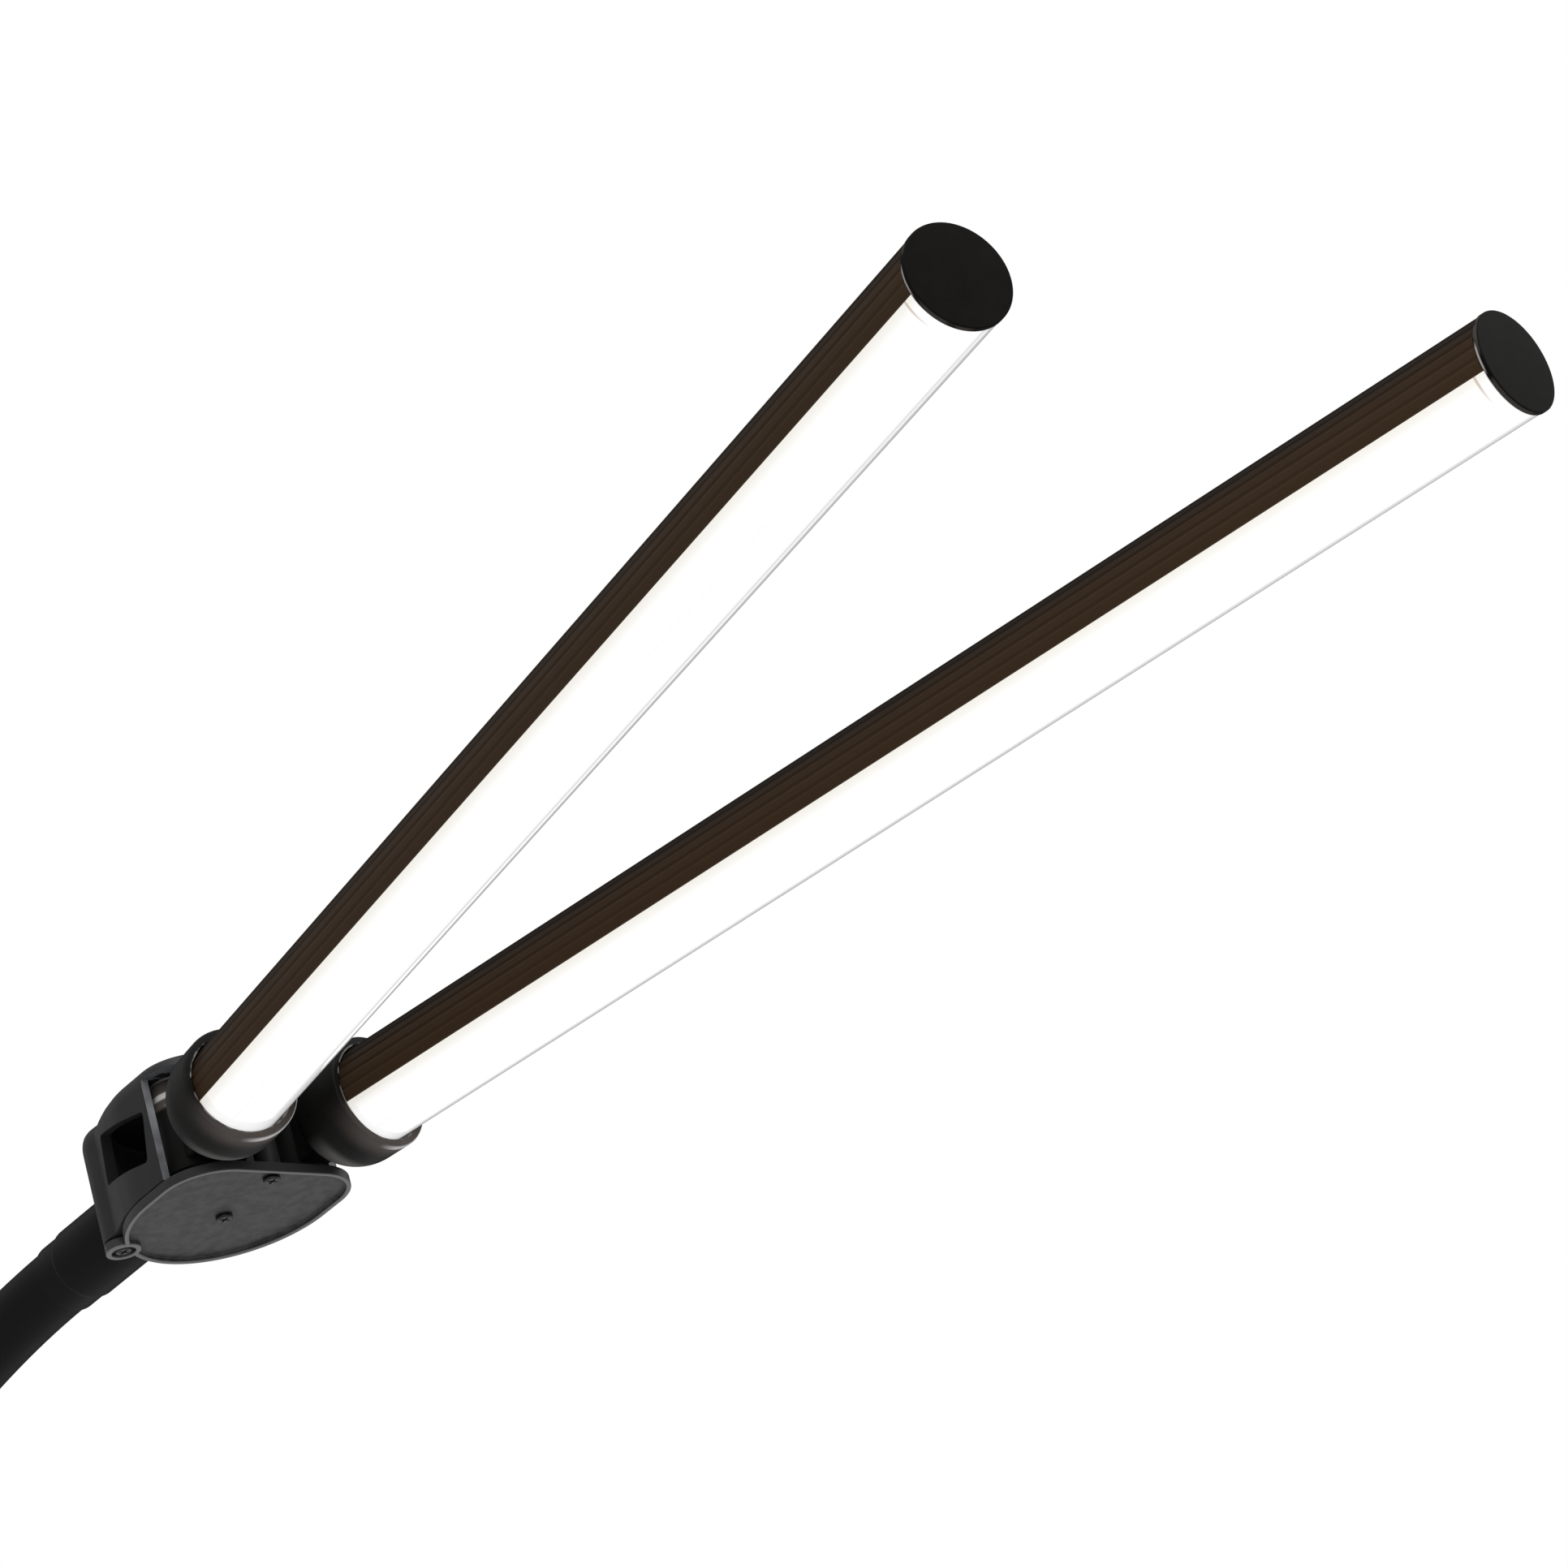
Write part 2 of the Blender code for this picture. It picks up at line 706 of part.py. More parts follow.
for side, name in ((1, "control_screw_left"), (-1, "control_screw_right")):
    place = (0, side * screw_side, CONTROL_MIDDLE - CONTROL_SCREW_OFFSET)
    head_seat = -CONTROL_BACK + SCREW_HEAD_HEIGHT + GAP
    thread_end = CONTROL_BACK - CONTROL_CORNER
    turned(
        name,
        [
            (0, thread_end),
            (SCREW_RADIUS, thread_end),
            (SCREW_RADIUS, head_seat),
            (SCREW_HEAD_RADIUS, head_seat),
            (SCREW_HEAD_RADIUS, head_seat - SCREW_HEAD_HEIGHT),
            (0, head_seat - SCREW_HEAD_HEIGHT),
        ],
        SMALL,
        finish=zinc,
        place=place,
        turn=(0, pi / 2, 0),
    )
    shaft = rod(
        name + "_hole",
        SCREW_RADIUS + RUNNING,
        -CONTROL_BACK - OVERRUN,
        thread_end + GAP,
        SMALL,
        place=place,
        turn=(0, pi / 2, 0),
        home=cutters,
    )
    head = rod(
        name + "_head_hole",
        SCREW_HEAD_RADIUS + RUNNING,
        -CONTROL_BACK - OVERRUN,
        head_seat + GAP,
        SMALL,
        place=place,
        turn=(0, pi / 2, 0),
        home=cutters,
    )
    cut(front_shell, shaft)
    cut(back_shell, shaft, head)

# Ferrule on the pole's top, with the gooseneck's straight foot in its bore
neck_bore = NECK_RADIUS + GAP
turned(
    "neck_ferrule",
    [
        (neck_bore, NECK_START),
        (FERRULE_TOP_RADIUS - CAP_CHAMFER, NECK_START),
        (FERRULE_TOP_RADIUS, NECK_START - CAP_CHAMFER),
        (FERRULE_RADIUS, POLE_TOP + GAP + FERRULE_LENGTH / 2),
        (FERRULE_RADIUS, POLE_TOP + GAP),
        (PLUG_RADIUS, POLE_TOP + GAP),
        (PLUG_RADIUS, POLE_TOP + GAP - JOINER_PLUG),
        (JOINER_BORE, POLE_TOP + GAP - JOINER_PLUG),
        (JOINER_BORE, NECK_START - FERRULE_DEPTH),
        (neck_bore, NECK_START - FERRULE_DEPTH),
    ],
    FINE,
    finish=black_paint,
)


# Gooseneck: short lengths of the arm, each a ball in the socket of the next
def along_neck(distance):
    """Point on the neck's arc; a distance under zero lies on the straight before it."""
    if distance < 0:
        return (0, 0, distance)
    turn = distance / NECK_BEND
    return (NECK_BEND * (1 - cos(turn)), 0, NECK_BEND * sin(turn))


def neck_piece(name, first, last, socket, top_ball, straight_tail=0):
    """A length of neck in the frame of its lower end; its arc starts at distance zero."""
    bends = [last * i / 4 for i in range(5)]
    path = [along_neck(d) for d in ([first] if first < 0 else []) + bends]
    tail = Vector((sin(last / NECK_BEND), 0, cos(last / NECK_BEND))) * straight_tail
    if straight_tail:
        path.append(tuple(Vector(path[-1]) + tail))
    over = Vector((sin(last / NECK_BEND), 0, cos(last / NECK_BEND))) * (BALL_RADIUS + SHOULDER)
    bore_path = [(0, 0, min(first, 0) - OVERRUN), *path[1 if first < 0 else 0 :]]
    bore_path.append(tuple(Vector(path[-1]) + over))
    piece = tube(name, path, NECK_RADIUS, NECK_SIDES, finish=neck_black)
    if top_ball:
        centre = along_neck(last + SHOULDER)
        join(piece, ball(name + "_ball", BALL_RADIUS, NECK_SIDES, place=centre, home=cutters))
    if socket:
        hollow = BALL_RADIUS + BALL_CLEARANCE
        cut(piece, ball(name + "_socket", hollow, NECK_SIDES, home=cutters))
    cut(piece, tube(name + "_bore", bore_path, NECK_BORE, BORE_SIDES, home=cutters))
    return piece


def settled(piece):
    """The mesh of a piece with its cuts made, smooth on its round faces."""
    graph = bpy.context.evaluated_depsgraph_get()
    mesh = bpy.data.meshes.new_from_object(piece.evaluated_get(graph))
    piece.modifiers.clear()
    piece.data = mesh
    return mesh


neck_frame = empty("neck_start", None, (0, 0, NECK_START))
foot = neck_piece(
    "neck_foot", -FERRULE_DEPTH + GAP, NECK_PITCH / 2 - SHOULDER, False, True
)
settled(foot)
foot.parent = neck_frame
half_step = NECK_STEP / 2
joint_frame = empty(
    "neck_joint_1",
    neck_frame,
    along_neck(NECK_PITCH / 2),
    (0, half_step, 0),
)
link = neck_piece("neck_link_1", 0, NECK_PITCH - SHOULDER, True, True)
link_mesh = settled(link)
link.parent = joint_frame
for number in range(2, NECK_JOINTS):
    joint_frame = empty(
        f"neck_joint_{number}", joint_frame, along_neck(NECK_PITCH), (0, NECK_STEP, 0)
    )
    add(f"neck_link_{number}", link_mesh, parts, None, joint_frame)
joint_frame = empty(
    f"neck_joint_{NECK_JOINTS}", joint_frame, along_neck(NECK_PITCH), (0, NECK_STEP, 0)
)
head_piece = neck_piece(
    "neck_head", 0, NECK_PITCH / 2, True, False, SLEEVE_DEPTH - GAP
)
settled(head_piece)
head_piece.parent = joint_frame

# Head frame: X along the middle of the fan, Z square to the block's top, origin between the rims
neck_end = empty("neck_end", joint_frame, along_neck(NECK_PITCH / 2), (0, half_step, 0))
head = empty("head", neck_end, (NECK_RISE, 0, SLEEVE_BACK), (0, -pi / 2, 0))

# Sleeve over the gooseneck's end, with a hollow threaded spigot through the block's rear wall
turned(
    "neck_sleeve",
    [
        (SPIGOT_BORE, SLEEVE_LENGTH + SPIGOT_LENGTH),
        (SPIGOT_RADIUS, SLEEVE_LENGTH + SPIGOT_LENGTH),
        (SPIGOT_RADIUS, SLEEVE_LENGTH),
        (SLEEVE_RADIUS, SLEEVE_LENGTH),
        (SLEEVE_RADIUS, SLEEVE_CHAMFER),
        (neck_bore + CAP_CHAMFER, 0),
        (neck_bore, 0),
        (neck_bore, SLEEVE_DEPTH),
        (SPIGOT_BORE, SLEEVE_DEPTH),
    ],
    FINE,
    finish=neck_black,
    parent=neck_end,
)
nut_seat = SLEEVE_LENGTH + GAP + REAR_BOSS + BLOCK_WALL + REAR_PAD + GAP
cut(
    rod(
        "neck_nut",
        NUT_RADIUS,
        nut_seat,
        nut_seat + NUT_THICKNESS,
        6,
        finish=zinc,
        parent=neck_end,
    ),
    rod(
        "neck_nut_bore",
        SPIGOT_RADIUS + RUNNING,
        0,
        nut_seat + SPIGOT_LENGTH,
        parent=neck_end,
        home=cutters,
    ),
)


# Hinge block: a moulding with its top and side wall in one, open at the front for the bars
def block_outline(inset):
    """Plan of the block, moved inwards by the inset: round rear, straight sides, round front corners."""
    long = BLOCK_REAR - BLOCK_WIDEST - inset
    wide = BLOCK_HALF_WIDTH - inset
    corner = (-BLOCK_FRONT - BLOCK_CORNER, BLOCK_HALF_WIDTH - BLOCK_CORNER)
    side = arc(BLOCK_CORNER - inset, 0, pi / 2, 6, corner)
    rear = [(-BLOCK_WIDEST - long * x, wide * y) for x, y in arc(1, pi / 2, 0, 12)]
    half = side + rear
    return half + [(x, -y) for x, y in reversed(half[:-1])]


def on_head(builder, *values, **where):
    return builder(*values, parent=head, **where)


shell_bottom = PLATE_INNER + GAP
shell = on_head(
    prism,
    "hinge_block",
    [block_outline(0)],
    BLOCK_RISE - shell_bottom,
    finish=block_black,
    place=(0, 0, (BLOCK_RISE + shell_bottom) / 2),
)
ear = (-EAR_BACK, -EAR_SIDE, 0)
screw_places = {
    "cover_screw_front": (-SCREW_FRONT_BACK, 0, 0),
    "cover_screw_middle": (-SCREW_MIDDLE_BACK, 0, 0),
    "cover_screw_ear": ear,
}
cut(
    shell,
    on_head(
        prism,
        "block_cavity",
        [block_outline(BLOCK_WALL)],
        TOP_INNER - shell_bottom + OVERRUN,
        place=(0, 0, (TOP_INNER + shell_bottom - OVERRUN) / 2),
        home=cutters,
    ),
    on_head(
        block,
        "block_mouth",
        (-WALL_FRONT, -BLOCK_HALF_WIDTH - OVERRUN, shell_bottom - OVERRUN),
        (0, BLOCK_HALF_WIDTH + OVERRUN, TOP_INNER),
        home=cutters,
    ),
)
for side, name in ((1, "window_left"), (-1, "window_right")):
    half_length, half_height = WINDOW_LENGTH / 2, WINDOW_HEIGHT / 2
    cut(
        shell,
        on_head(
            block,
            name,
            (-half_length, -BLOCK_HALF_WIDTH / 2, -half_height),
            (half_length, BLOCK_HALF_WIDTH / 2, half_height),
            place=(-WINDOW_BACK, side * BLOCK_HALF_WIDTH, WINDOW_RISE),
            turn=(0, WINDOW_TILT, 0),
            home=cutters,
        ),
    )
join(
    shell,
    on_head(
        rod, "ear_column", EAR_RADIUS, shell_bottom, BLOCK_RISE, place=ear, home=cutters
    ),
    rod(
        "rear_boss",
        SLEEVE_RADIUS,
        SLEEVE_LENGTH + GAP,
        SLEEVE_LENGTH + GAP + REAR_BOSS + BLOCK_WALL + REAR_PAD,
        FINE,
        parent=neck_end,
        home=cutters,
    ),
    *[
        on_head(
            rod,
            name + "_boss",
            BOSS_RADIUS,
            shell_bottom,
            TOP_INNER + TOP_THICKNESS / 2,
            place=screw_places[name],
            home=cutters,
        )
        for name in ("cover_screw_front", "cover_screw_middle")
    ],
)
cut(
    shell,
    rod(
        "spigot_hole",
        SPIGOT_RADIUS + RUNNING,
        0,
        nut_seat + SPIGOT_LENGTH,
        parent=neck_end,
        home=cutters,
    ),
    *[
        on_head(
            rod,
            name + "_thread",
            SCREW_RADIUS + RUNNING,
            -BLOCK_DROP - OVERRUN,
            PLATE_FIELD + SCREW_LENGTH + GAP,
            SMALL,
            place=place,
            home=cutters,
        )
        for name, place in screw_places.items()
    ],
)
pivots = {
    side: (PIVOT_X, sign * PIVOT_Y, 0) for side, sign in (("left", 1), ("right", -1))
}
pin_hole = PIN_RADIUS + RUNNING
cut(
    shell,
    *[
        on_head(
            rod,
            side + "_pin_socket",
            pin_hole,
            TOP_INNER - OVERRUN,
            TOP_INNER + PIN_SOCKET,
            place=place,
            home=cutters,
        )
        for side, place in pivots.items()
    ],
)

# Cover plate under the block, sunk inside a raised rim, with a round ear
plate = on_head(
    prism,
    "cover_plate",
    [block_outline(0)],
    BLOCK_DROP + PLATE_INNER,
    finish=plate_grey,
    place=(0, 0, (PLATE_INNER - BLOCK_DROP) / 2),
)
cut(
    plate,
    on_head(
        prism,
        "plate_recess",
        [block_outline(RIM_WIDTH)],
        RIM_HEIGHT + OVERRUN,
        place=(0, 0, PLATE_FIELD - (RIM_HEIGHT + OVERRUN) / 2),
        home=cutters,
    ),
)
join(
    plate,
    on_head(
        rod, "plate_ear", EAR_RADIUS, -BLOCK_DROP, PLATE_INNER, place=ear, home=cutters
    ),
    *[
        on_head(
            rod,
            side + "_pin_seat",
            PIN_RADIUS + SEAT_WIDTH,
            PLATE_INNER - PLATE_THICKNESS / 2,
            SEAT_TOP,
            place=place,
            home=cutters,
        )
        for side, place in pivots.items()
    ],
)
cut(
    plate,
    on_head(
        rod,
        "ear_recess",
        EAR_RADIUS - RIM_WIDTH,
        -BLOCK_DROP - OVERRUN,
        PLATE_FIELD,
        place=ear,
        home=cutters,
    ),
    *[
        on_head(
            rod,
            side + "_pin_seat_hole",
            pin_hole,
            PLATE_INNER,
            SEAT_TOP + OVERRUN,
            place=place,
            home=cutters,
        )
        for side, place in pivots.items()
    ],
    *[bpy.data.objects[name + "_thread"] for name in screw_places],
)
for name, place in screw_places.items():
    on_head(
        turned,
        name,
        [
            (0, PLATE_FIELD + SCREW_LENGTH),
            (SCREW_RADIUS, PLATE_FIELD + SCREW_LENGTH),
            (SCREW_RADIUS, PLATE_FIELD - GAP),
            (SCREW_HEAD_RADIUS, PLATE_FIELD - GAP),
            (SCREW_HEAD_RADIUS, PLATE_FIELD - GAP - SCREW_HEAD_HEIGHT),
            (0, PLATE_FIELD - GAP - SCREW_HEAD_HEIGHT),
        ],
        SMALL,
        finish=zinc,
        place=place,
    )


# Light bars: each hangs from an empty on its pivot's axis, X along the bar
def housing_outline():
    """Black half of the bar: grooved outside, with a shelf for the light board inside."""
    end = LIGHT_ANGLE + GAP / (2 * BAR_RADIUS)
    span = 2 * (pi - end)
    inner = BAR_RADIUS - HOUSING_WALL
    outside = []
    for groove in range(GROOVES + 1):
        middle = end + span * (groove + 1) / (GROOVES + 2)
        half = span / (GROOVES + 2) / 4
        outside += [
            upright(middle - half, BAR_RADIUS),
            upright(middle, BAR_RADIUS - GROOVE_DEPTH),
            upright(middle + half, BAR_RADIUS),
        ]
    ends = upright(end, BAR_RADIUS), upright(2 * pi - end, BAR_RADIUS)
    shelf_bottom = -SHELF_DROP - SHELF_THICKNESS
    shelf_end = max(end, pi / 2 - asin(-shelf_bottom / inner))
    foot = upright(shelf_end, inner)
    underside = [
        (-upright(end, inner)[0], upright(end, inner)[1]),
        (-foot[0] + HOUSING_WALL, shelf_bottom),
        (foot[0] - HOUSING_WALL, shelf_bottom),
        upright(end, inner),
    ]
    cavity_start = asin(-SHELF_DROP / inner)
    cavity = arc(inner, cavity_start, pi - cavity_start, 12)
    return [[ends[0], *outside, ends[1], *underside], cavity]


def diffuser_outline():
    """Opal half of the bar, an even shell between the housing's two edges."""
    end = LIGHT_ANGLE - GAP / (2 * BAR_RADIUS)
    angles = [-end + 2 * end * i / 14 for i in range(15)]
    outer = [upright(a, BAR_RADIUS) for a in angles]
    inner = [upright(a, BAR_RADIUS - DIFFUSER_WALL) for a in reversed(angles)]
    return [outer + inner]


def cap_plug_outline():
    """Half-round plug that fills the housing's upper hollow."""
    radius = BAR_RADIUS - HOUSING_WALL - GAP
    start = asin(-(SHELF_DROP - GAP) / radius)
    return [arc(radius, start, pi - start, 10)]


def collar_profile():
    """Cup with a ball-shaped back, in lengths from the pivot along the bar."""
    centre = PIVOT_BACK - COLLAR_STRAIGHT
    dome = [
        (COLLAR_RADIUS * cos(a), centre - COLLAR_RADIUS * sin(a))
        for a in [i * pi / 14 for i in range(8)]
    ]
    floor = PIVOT_BACK - CUP_DEPTH
    bore = BAR_RADIUS + GAP
    return [
        (0, floor),
        (bore, floor),
        (bore, PIVOT_BACK),
        (COLLAR_RADIUS - CUP_CHAMFER, PIVOT_BACK),
        (COLLAR_RADIUS, PIVOT_BACK - CUP_CHAMFER),
        *dome[:-1],
        (0, centre - COLLAR_RADIUS),
    ]


ACROSS = (pi / 2, 0, pi / 2)
bar_length = BAR_END - BAR_START
bar_middle = (BAR_START + BAR_END) / 2
board_top = -SHELF_DROP - SHELF_THICKNESS - GAP
board_bottom = board_top - BOARD_THICKNESS
for side, sign in (("right", -1), ("left", 1)):
    swing = empty(side + "_swing", head, pivots[side], (0, 0, sign * FAN))
    collar = turned(
        side + "_collar",
        collar_profile(),
        FINE,
        finish=block_black,
        parent=swing,
        turn=(0, pi / 2, 0),
    )
    dome_centre = PIVOT_BACK - COLLAR_STRAIGHT
    join(
        collar,
        block(
            side + "_tongue",
            (0, -TONGUE_HALF_WIDTH, -TONGUE_DROP),
            (dome_centre - TONGUE_HALF_WIDTH, TONGUE_HALF_WIDTH, TONGUE_RISE),
            parent=swing,
            home=cutters,
        ),
        rod(
            side + "_knuckle",
            KNUCKLE_RADIUS,
            KNUCKLE_BOTTOM,
            KNUCKLE_TOP,
            parent=swing,
            home=cutters,
        ),
    )
    cut(
        collar,
        rod(
            side + "_knuckle_bore",
            pin_hole,
            KNUCKLE_BOTTOM - OVERRUN,
            KNUCKLE_TOP + OVERRUN,
            parent=swing,
            home=cutters,
        ),
        rod(
            side + "_wire_hole",
            WIRE_HOLE_RADIUS,
            KNUCKLE_RADIUS + OVERRUN,
            PIVOT_BACK,
            8,
            parent=swing,
            place=(0, 0, WIRE_HOLE_RISE),
            turn=(0, pi / 2, 0),
            home=cutters,
        ),
    )
    pin_bottom = PLATE_INNER + GAP
    pin_top = TOP_INNER + PIN_SOCKET - GAP
    on_head(
        rod,
        side + "_pivot_pin",
        PIN_RADIUS,
        pin_bottom,
        pin_top,
        finish=steel,
        place=pivots[side],
    )
    for level, low in (("lower", SEAT_TOP + GAP), ("upper", KNUCKLE_TOP + GAP)):
        name = f"{side}_{level}_washer"
        high = low + WASHER_THICKNESS
        on_head(
            turned,
            name,
            [(pin_hole, high), (WASHER_RADIUS, high), (WASHER_RADIUS, low), (pin_hole, low)],
            COARSE,
            finish=nylon,
            place=pivots[side],
        )
    prism(
        side + "_bar_housing",
        housing_outline(),
        bar_length,
        finish=anodised,
        parent=swing,
        place=(bar_middle, 0, 0),
        turn=ACROSS,
    )
    prism(
        side + "_diffuser",
        diffuser_outline(),
        bar_length,
        finish=opal,
        parent=swing,
        place=(bar_middle, 0, 0),
        turn=ACROSS,
    )
    strip = block(
        side + "_light_board",
        (BAR_START + GAP, -BOARD_HALF_WIDTH, board_bottom),
        (BAR_END - GAP, BOARD_HALF_WIDTH, board_top),
        finish=board_white,
        parent=swing,
    )
    chip_pitch = (BAR_END - PIVOT_BACK) / CHIPS
    chip = block(
        side + "_light_chips",
        (-CHIP_SIZE / 2, -CHIP_SIZE / 2, board_bottom - CHIP_HEIGHT),
        (CHIP_SIZE / 2, CHIP_SIZE / 2, board_bottom + BOARD_THICKNESS / 2),
        parent=swing,
        place=(PIVOT_BACK + chip_pitch / 2, 0, 0),
        home=cutters,
    )
    row = chip.modifiers.new("row", "ARRAY")
    row.count = CHIPS
    row.use_relative_offset = False
    row.use_constant_offset = True
    row.constant_offset_displace = (chip_pitch, 0, 0)
    join(strip, chip)
    cap = turned(
        side + "_end_cap",
        [
            (0, CAP_START + CAP_FLANGE),
            (CAP_RADIUS - CAP_CHAMFER, CAP_START + CAP_FLANGE),
            (CAP_RADIUS, CAP_START + CAP_FLANGE - CAP_CHAMFER),
            (CAP_RADIUS, CAP_START),
            (0, CAP_START),
        ],
        FINE,
        finish=cap_black,
        parent=swing,
        turn=(0, pi / 2, 0),
    )
    plug_length = CAP_PLUG + CAP_FLANGE / 2
    join(
        cap,
        prism(
            side + "_cap_plug",
            cap_plug_outline(),
            plug_length,
            parent=swing,
            place=(CAP_START + CAP_FLANGE / 2 - plug_length / 2, 0, 0),
            turn=ACROSS,
            home=cutters,
        ),
    )


# Smooth shading on the round faces, with the edges between flat faces kept crisp
bpy.context.view_layer.update()
for obj in list(parts.objects):
    if obj.type == "MESH" and obj.modifiers:
        settled(obj)
for mesh in {obj.data for obj in parts.objects if obj.type == "MESH"}:
    mesh.shade_smooth()
    mesh.set_sharp_from_angle(angle=radians(35))
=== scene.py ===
"""Looks of the floor lamp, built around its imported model. Metres, +Z up.

The sections follow the lamp as it is put together, from the pad under its base to the caps on its
light bars. The last ones set the floor, the lamps and the camera.
"""

import json
from math import cos, pi, radians, sin

import bmesh
import bpy
import numpy as np
from mathutils import Matrix


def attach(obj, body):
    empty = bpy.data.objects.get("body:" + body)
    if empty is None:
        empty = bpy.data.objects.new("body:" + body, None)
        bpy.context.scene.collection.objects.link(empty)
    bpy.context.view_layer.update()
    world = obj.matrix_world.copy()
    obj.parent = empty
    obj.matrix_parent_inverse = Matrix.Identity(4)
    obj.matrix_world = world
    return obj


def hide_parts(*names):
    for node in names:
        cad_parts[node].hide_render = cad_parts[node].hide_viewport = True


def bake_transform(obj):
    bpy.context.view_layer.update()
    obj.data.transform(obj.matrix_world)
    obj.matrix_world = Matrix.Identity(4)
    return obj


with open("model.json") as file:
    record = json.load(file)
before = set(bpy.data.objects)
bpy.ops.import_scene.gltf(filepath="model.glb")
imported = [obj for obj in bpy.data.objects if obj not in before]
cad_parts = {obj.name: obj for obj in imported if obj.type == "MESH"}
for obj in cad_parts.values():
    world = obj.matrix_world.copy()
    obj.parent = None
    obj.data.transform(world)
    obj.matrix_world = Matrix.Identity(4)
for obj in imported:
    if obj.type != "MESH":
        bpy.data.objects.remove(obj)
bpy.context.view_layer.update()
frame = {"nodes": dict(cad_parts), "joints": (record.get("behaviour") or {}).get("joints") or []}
nodes = frame["nodes"]
joints = {joint["name"]: joint for joint in frame["joints"]}


# Rubber pad: a die-cut disc of soft rubber, glued under the weight so that the lamp neither
# slides nor scratches the floor. It is set back from the base's edge, and only its rim shows.
class Wire:
    """An output of a material node. Sums and products with numbers or wires add Math nodes."""

    def __init__(self, socket):
        self.socket = socket

    def node(self, kind, settings, values, output=0):
        """Add a shader node: its settings first, then the values or wires of its sockets."""
        made = self.socket.id_data.nodes.new("ShaderNode" + kind)
        for name, value in settings.items():
            setattr(made, name, value)
        for name, value in values.items():
            plug(port(made.inputs, name), value)
        return Wire(port(made.outputs, output))

    def maths(self, operation, *values):
        return self.node("Math", {"operation": operation}, dict(enumerate(values)))

    def __add__(self, other):
        return self.maths("ADD", self, other)

    def __sub__(self, other):
        return self.maths("SUBTRACT", self, other)

    def __rsub__(self, other):
        return self.maths("SUBTRACT", other, self)

    def __mul__(self, other):
        return self.maths("MULTIPLY", self, other)

    __radd__ = __add__
    __rmul__ = __mul__


def port(sockets, key):
    """The socket at that number, or with that identifier, or else with that name."""
    if isinstance(key, int):
        return sockets[key]
    found = [s for s in sockets if s.identifier == key] or [s for s in sockets if s.name == key]
    return found[0]


def plug(socket, value):
    """Give an input socket a wire, or a plain value; a colour may leave out its alpha."""
    if isinstance(value, Wire):
        socket.id_data.links.new(value.socket, socket)
    elif socket.type == "RGBA":
        socket.default_value = (*value, 1)
    else:
        socket.default_value = value


def finish(name, pattern, **fixed):
    """A Principled material: fixed sets sockets that are even, pattern(place) those that vary."""
    made = bpy.data.materials.new(name)
    made.use_nodes = True
    shader = made.node_tree.nodes["Principled BSDF"]
    place = Wire(made.node_tree.nodes.new("ShaderNodeTexCoord").outputs["Object"])
    for socket, value in fixed.items():
        plug(shader.inputs[socket.replace("_", " ")], value)
    for socket, value in pattern(place).items():
        plug(shader.inputs[socket], value)
    return made


def cloud(place, size, detail=2.0):
    """Soft noise from 0 to 1 with blotches about that many metres across."""
    return place.node("TexNoise", {}, {"Vector": place, "Scale": 1 / size, "Detail": detail})


def tint(mask, first, second):
    """The first colour where the mask is 0, the second where it is 1."""
    colours = {"Factor_Float": mask, "A_Color": first, "B_Color": second}
    return mask.node("Mix", {"data_type": "RGBA"}, colours, "Result_Color")


def ramp(value, low, high):
    """0 below the low value, 1 above the high one, and an even curve between them."""
    limits = {"Value": value, "From Min": low, "From Max": high}
    return value.node("MapRange", {"interpolation_type": "SMOOTHSTEP"}, limits)


def homed(place, x, y, z):
    """A home frame: a 4 by 4 matrix of three axes and a place."""
    home = np.eye(4)
    home[:3, :3] = np.column_stack([x, y, z])
    home[:3, 3] = place
    return home


UPRIGHT = np.eye(4)
# Edge radii, from keen to blunt
KEEN = 0.0001
CRISP = 0.0002
FINE = 0.0003
EASED = 0.0004
SOFT = 0.0005
ROUND = 0.0006
FULL = 0.0008
BLUNT = 0.0010
# Angle between the points of an arc, greatest angle that is shaded smoothly, and distance within
# which points are one
ARC_STEP = radians(10)
CREASE = radians(32)
WELD = 1e-6


def span(node, home=UPRIGHT):
    """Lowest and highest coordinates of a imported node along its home's axes."""
    mesh = nodes[node].data
    points = np.empty(len(mesh.vertices) * 3, np.float32)
    mesh.vertices.foreach_get("co", points)
    local = (points.reshape(-1, 3) - home[:3, 3]) @ home[:3, :3]
    return local.min(axis=0), local.max(axis=0)


def rounded(corners, closed=False):
    """A line through corners (x, y, radius), each bend an arc that touches both its sides.

    An arc runs from one touching point to the other about the centre on the corner's bisector,
    and its points are the two end directions mixed by sines, which keeps them on the circle.
    """
    points = np.array(corners, float)
    line = []
    for number, (x, y, radius) in enumerate(points):
        corner = points[number, :2]
        if radius == 0 or (not closed and number in (0, len(points) - 1)):
            line.append(corner[None])
            continue
        before = points[number - 1, :2] - corner
        after = points[(number + 1) % len(points), :2] - corner
        before /= np.linalg.norm(before)
        after /= np.linalg.norm(after)
        opening = np.arccos(before @ after)
        middle = (before + after) / np.linalg.norm(before + after)
        centre = corner + middle * radius / sin(opening / 2)
        reach = radius / np.tan(opening / 2)
        first = corner + before * reach - centre
        last = corner + after * reach - centre
        sweep = pi - opening
        share = np.linspace(0, 1, 2 + int(sweep / ARC_STEP))[:, None]
        mix = first * np.sin((1 - share) * sweep) + last * np.sin(share * sweep)
        line.append(centre + mix / sin(sweep))
    if closed:
        line.append(line[0][:1])
    return np.concatenate(line)


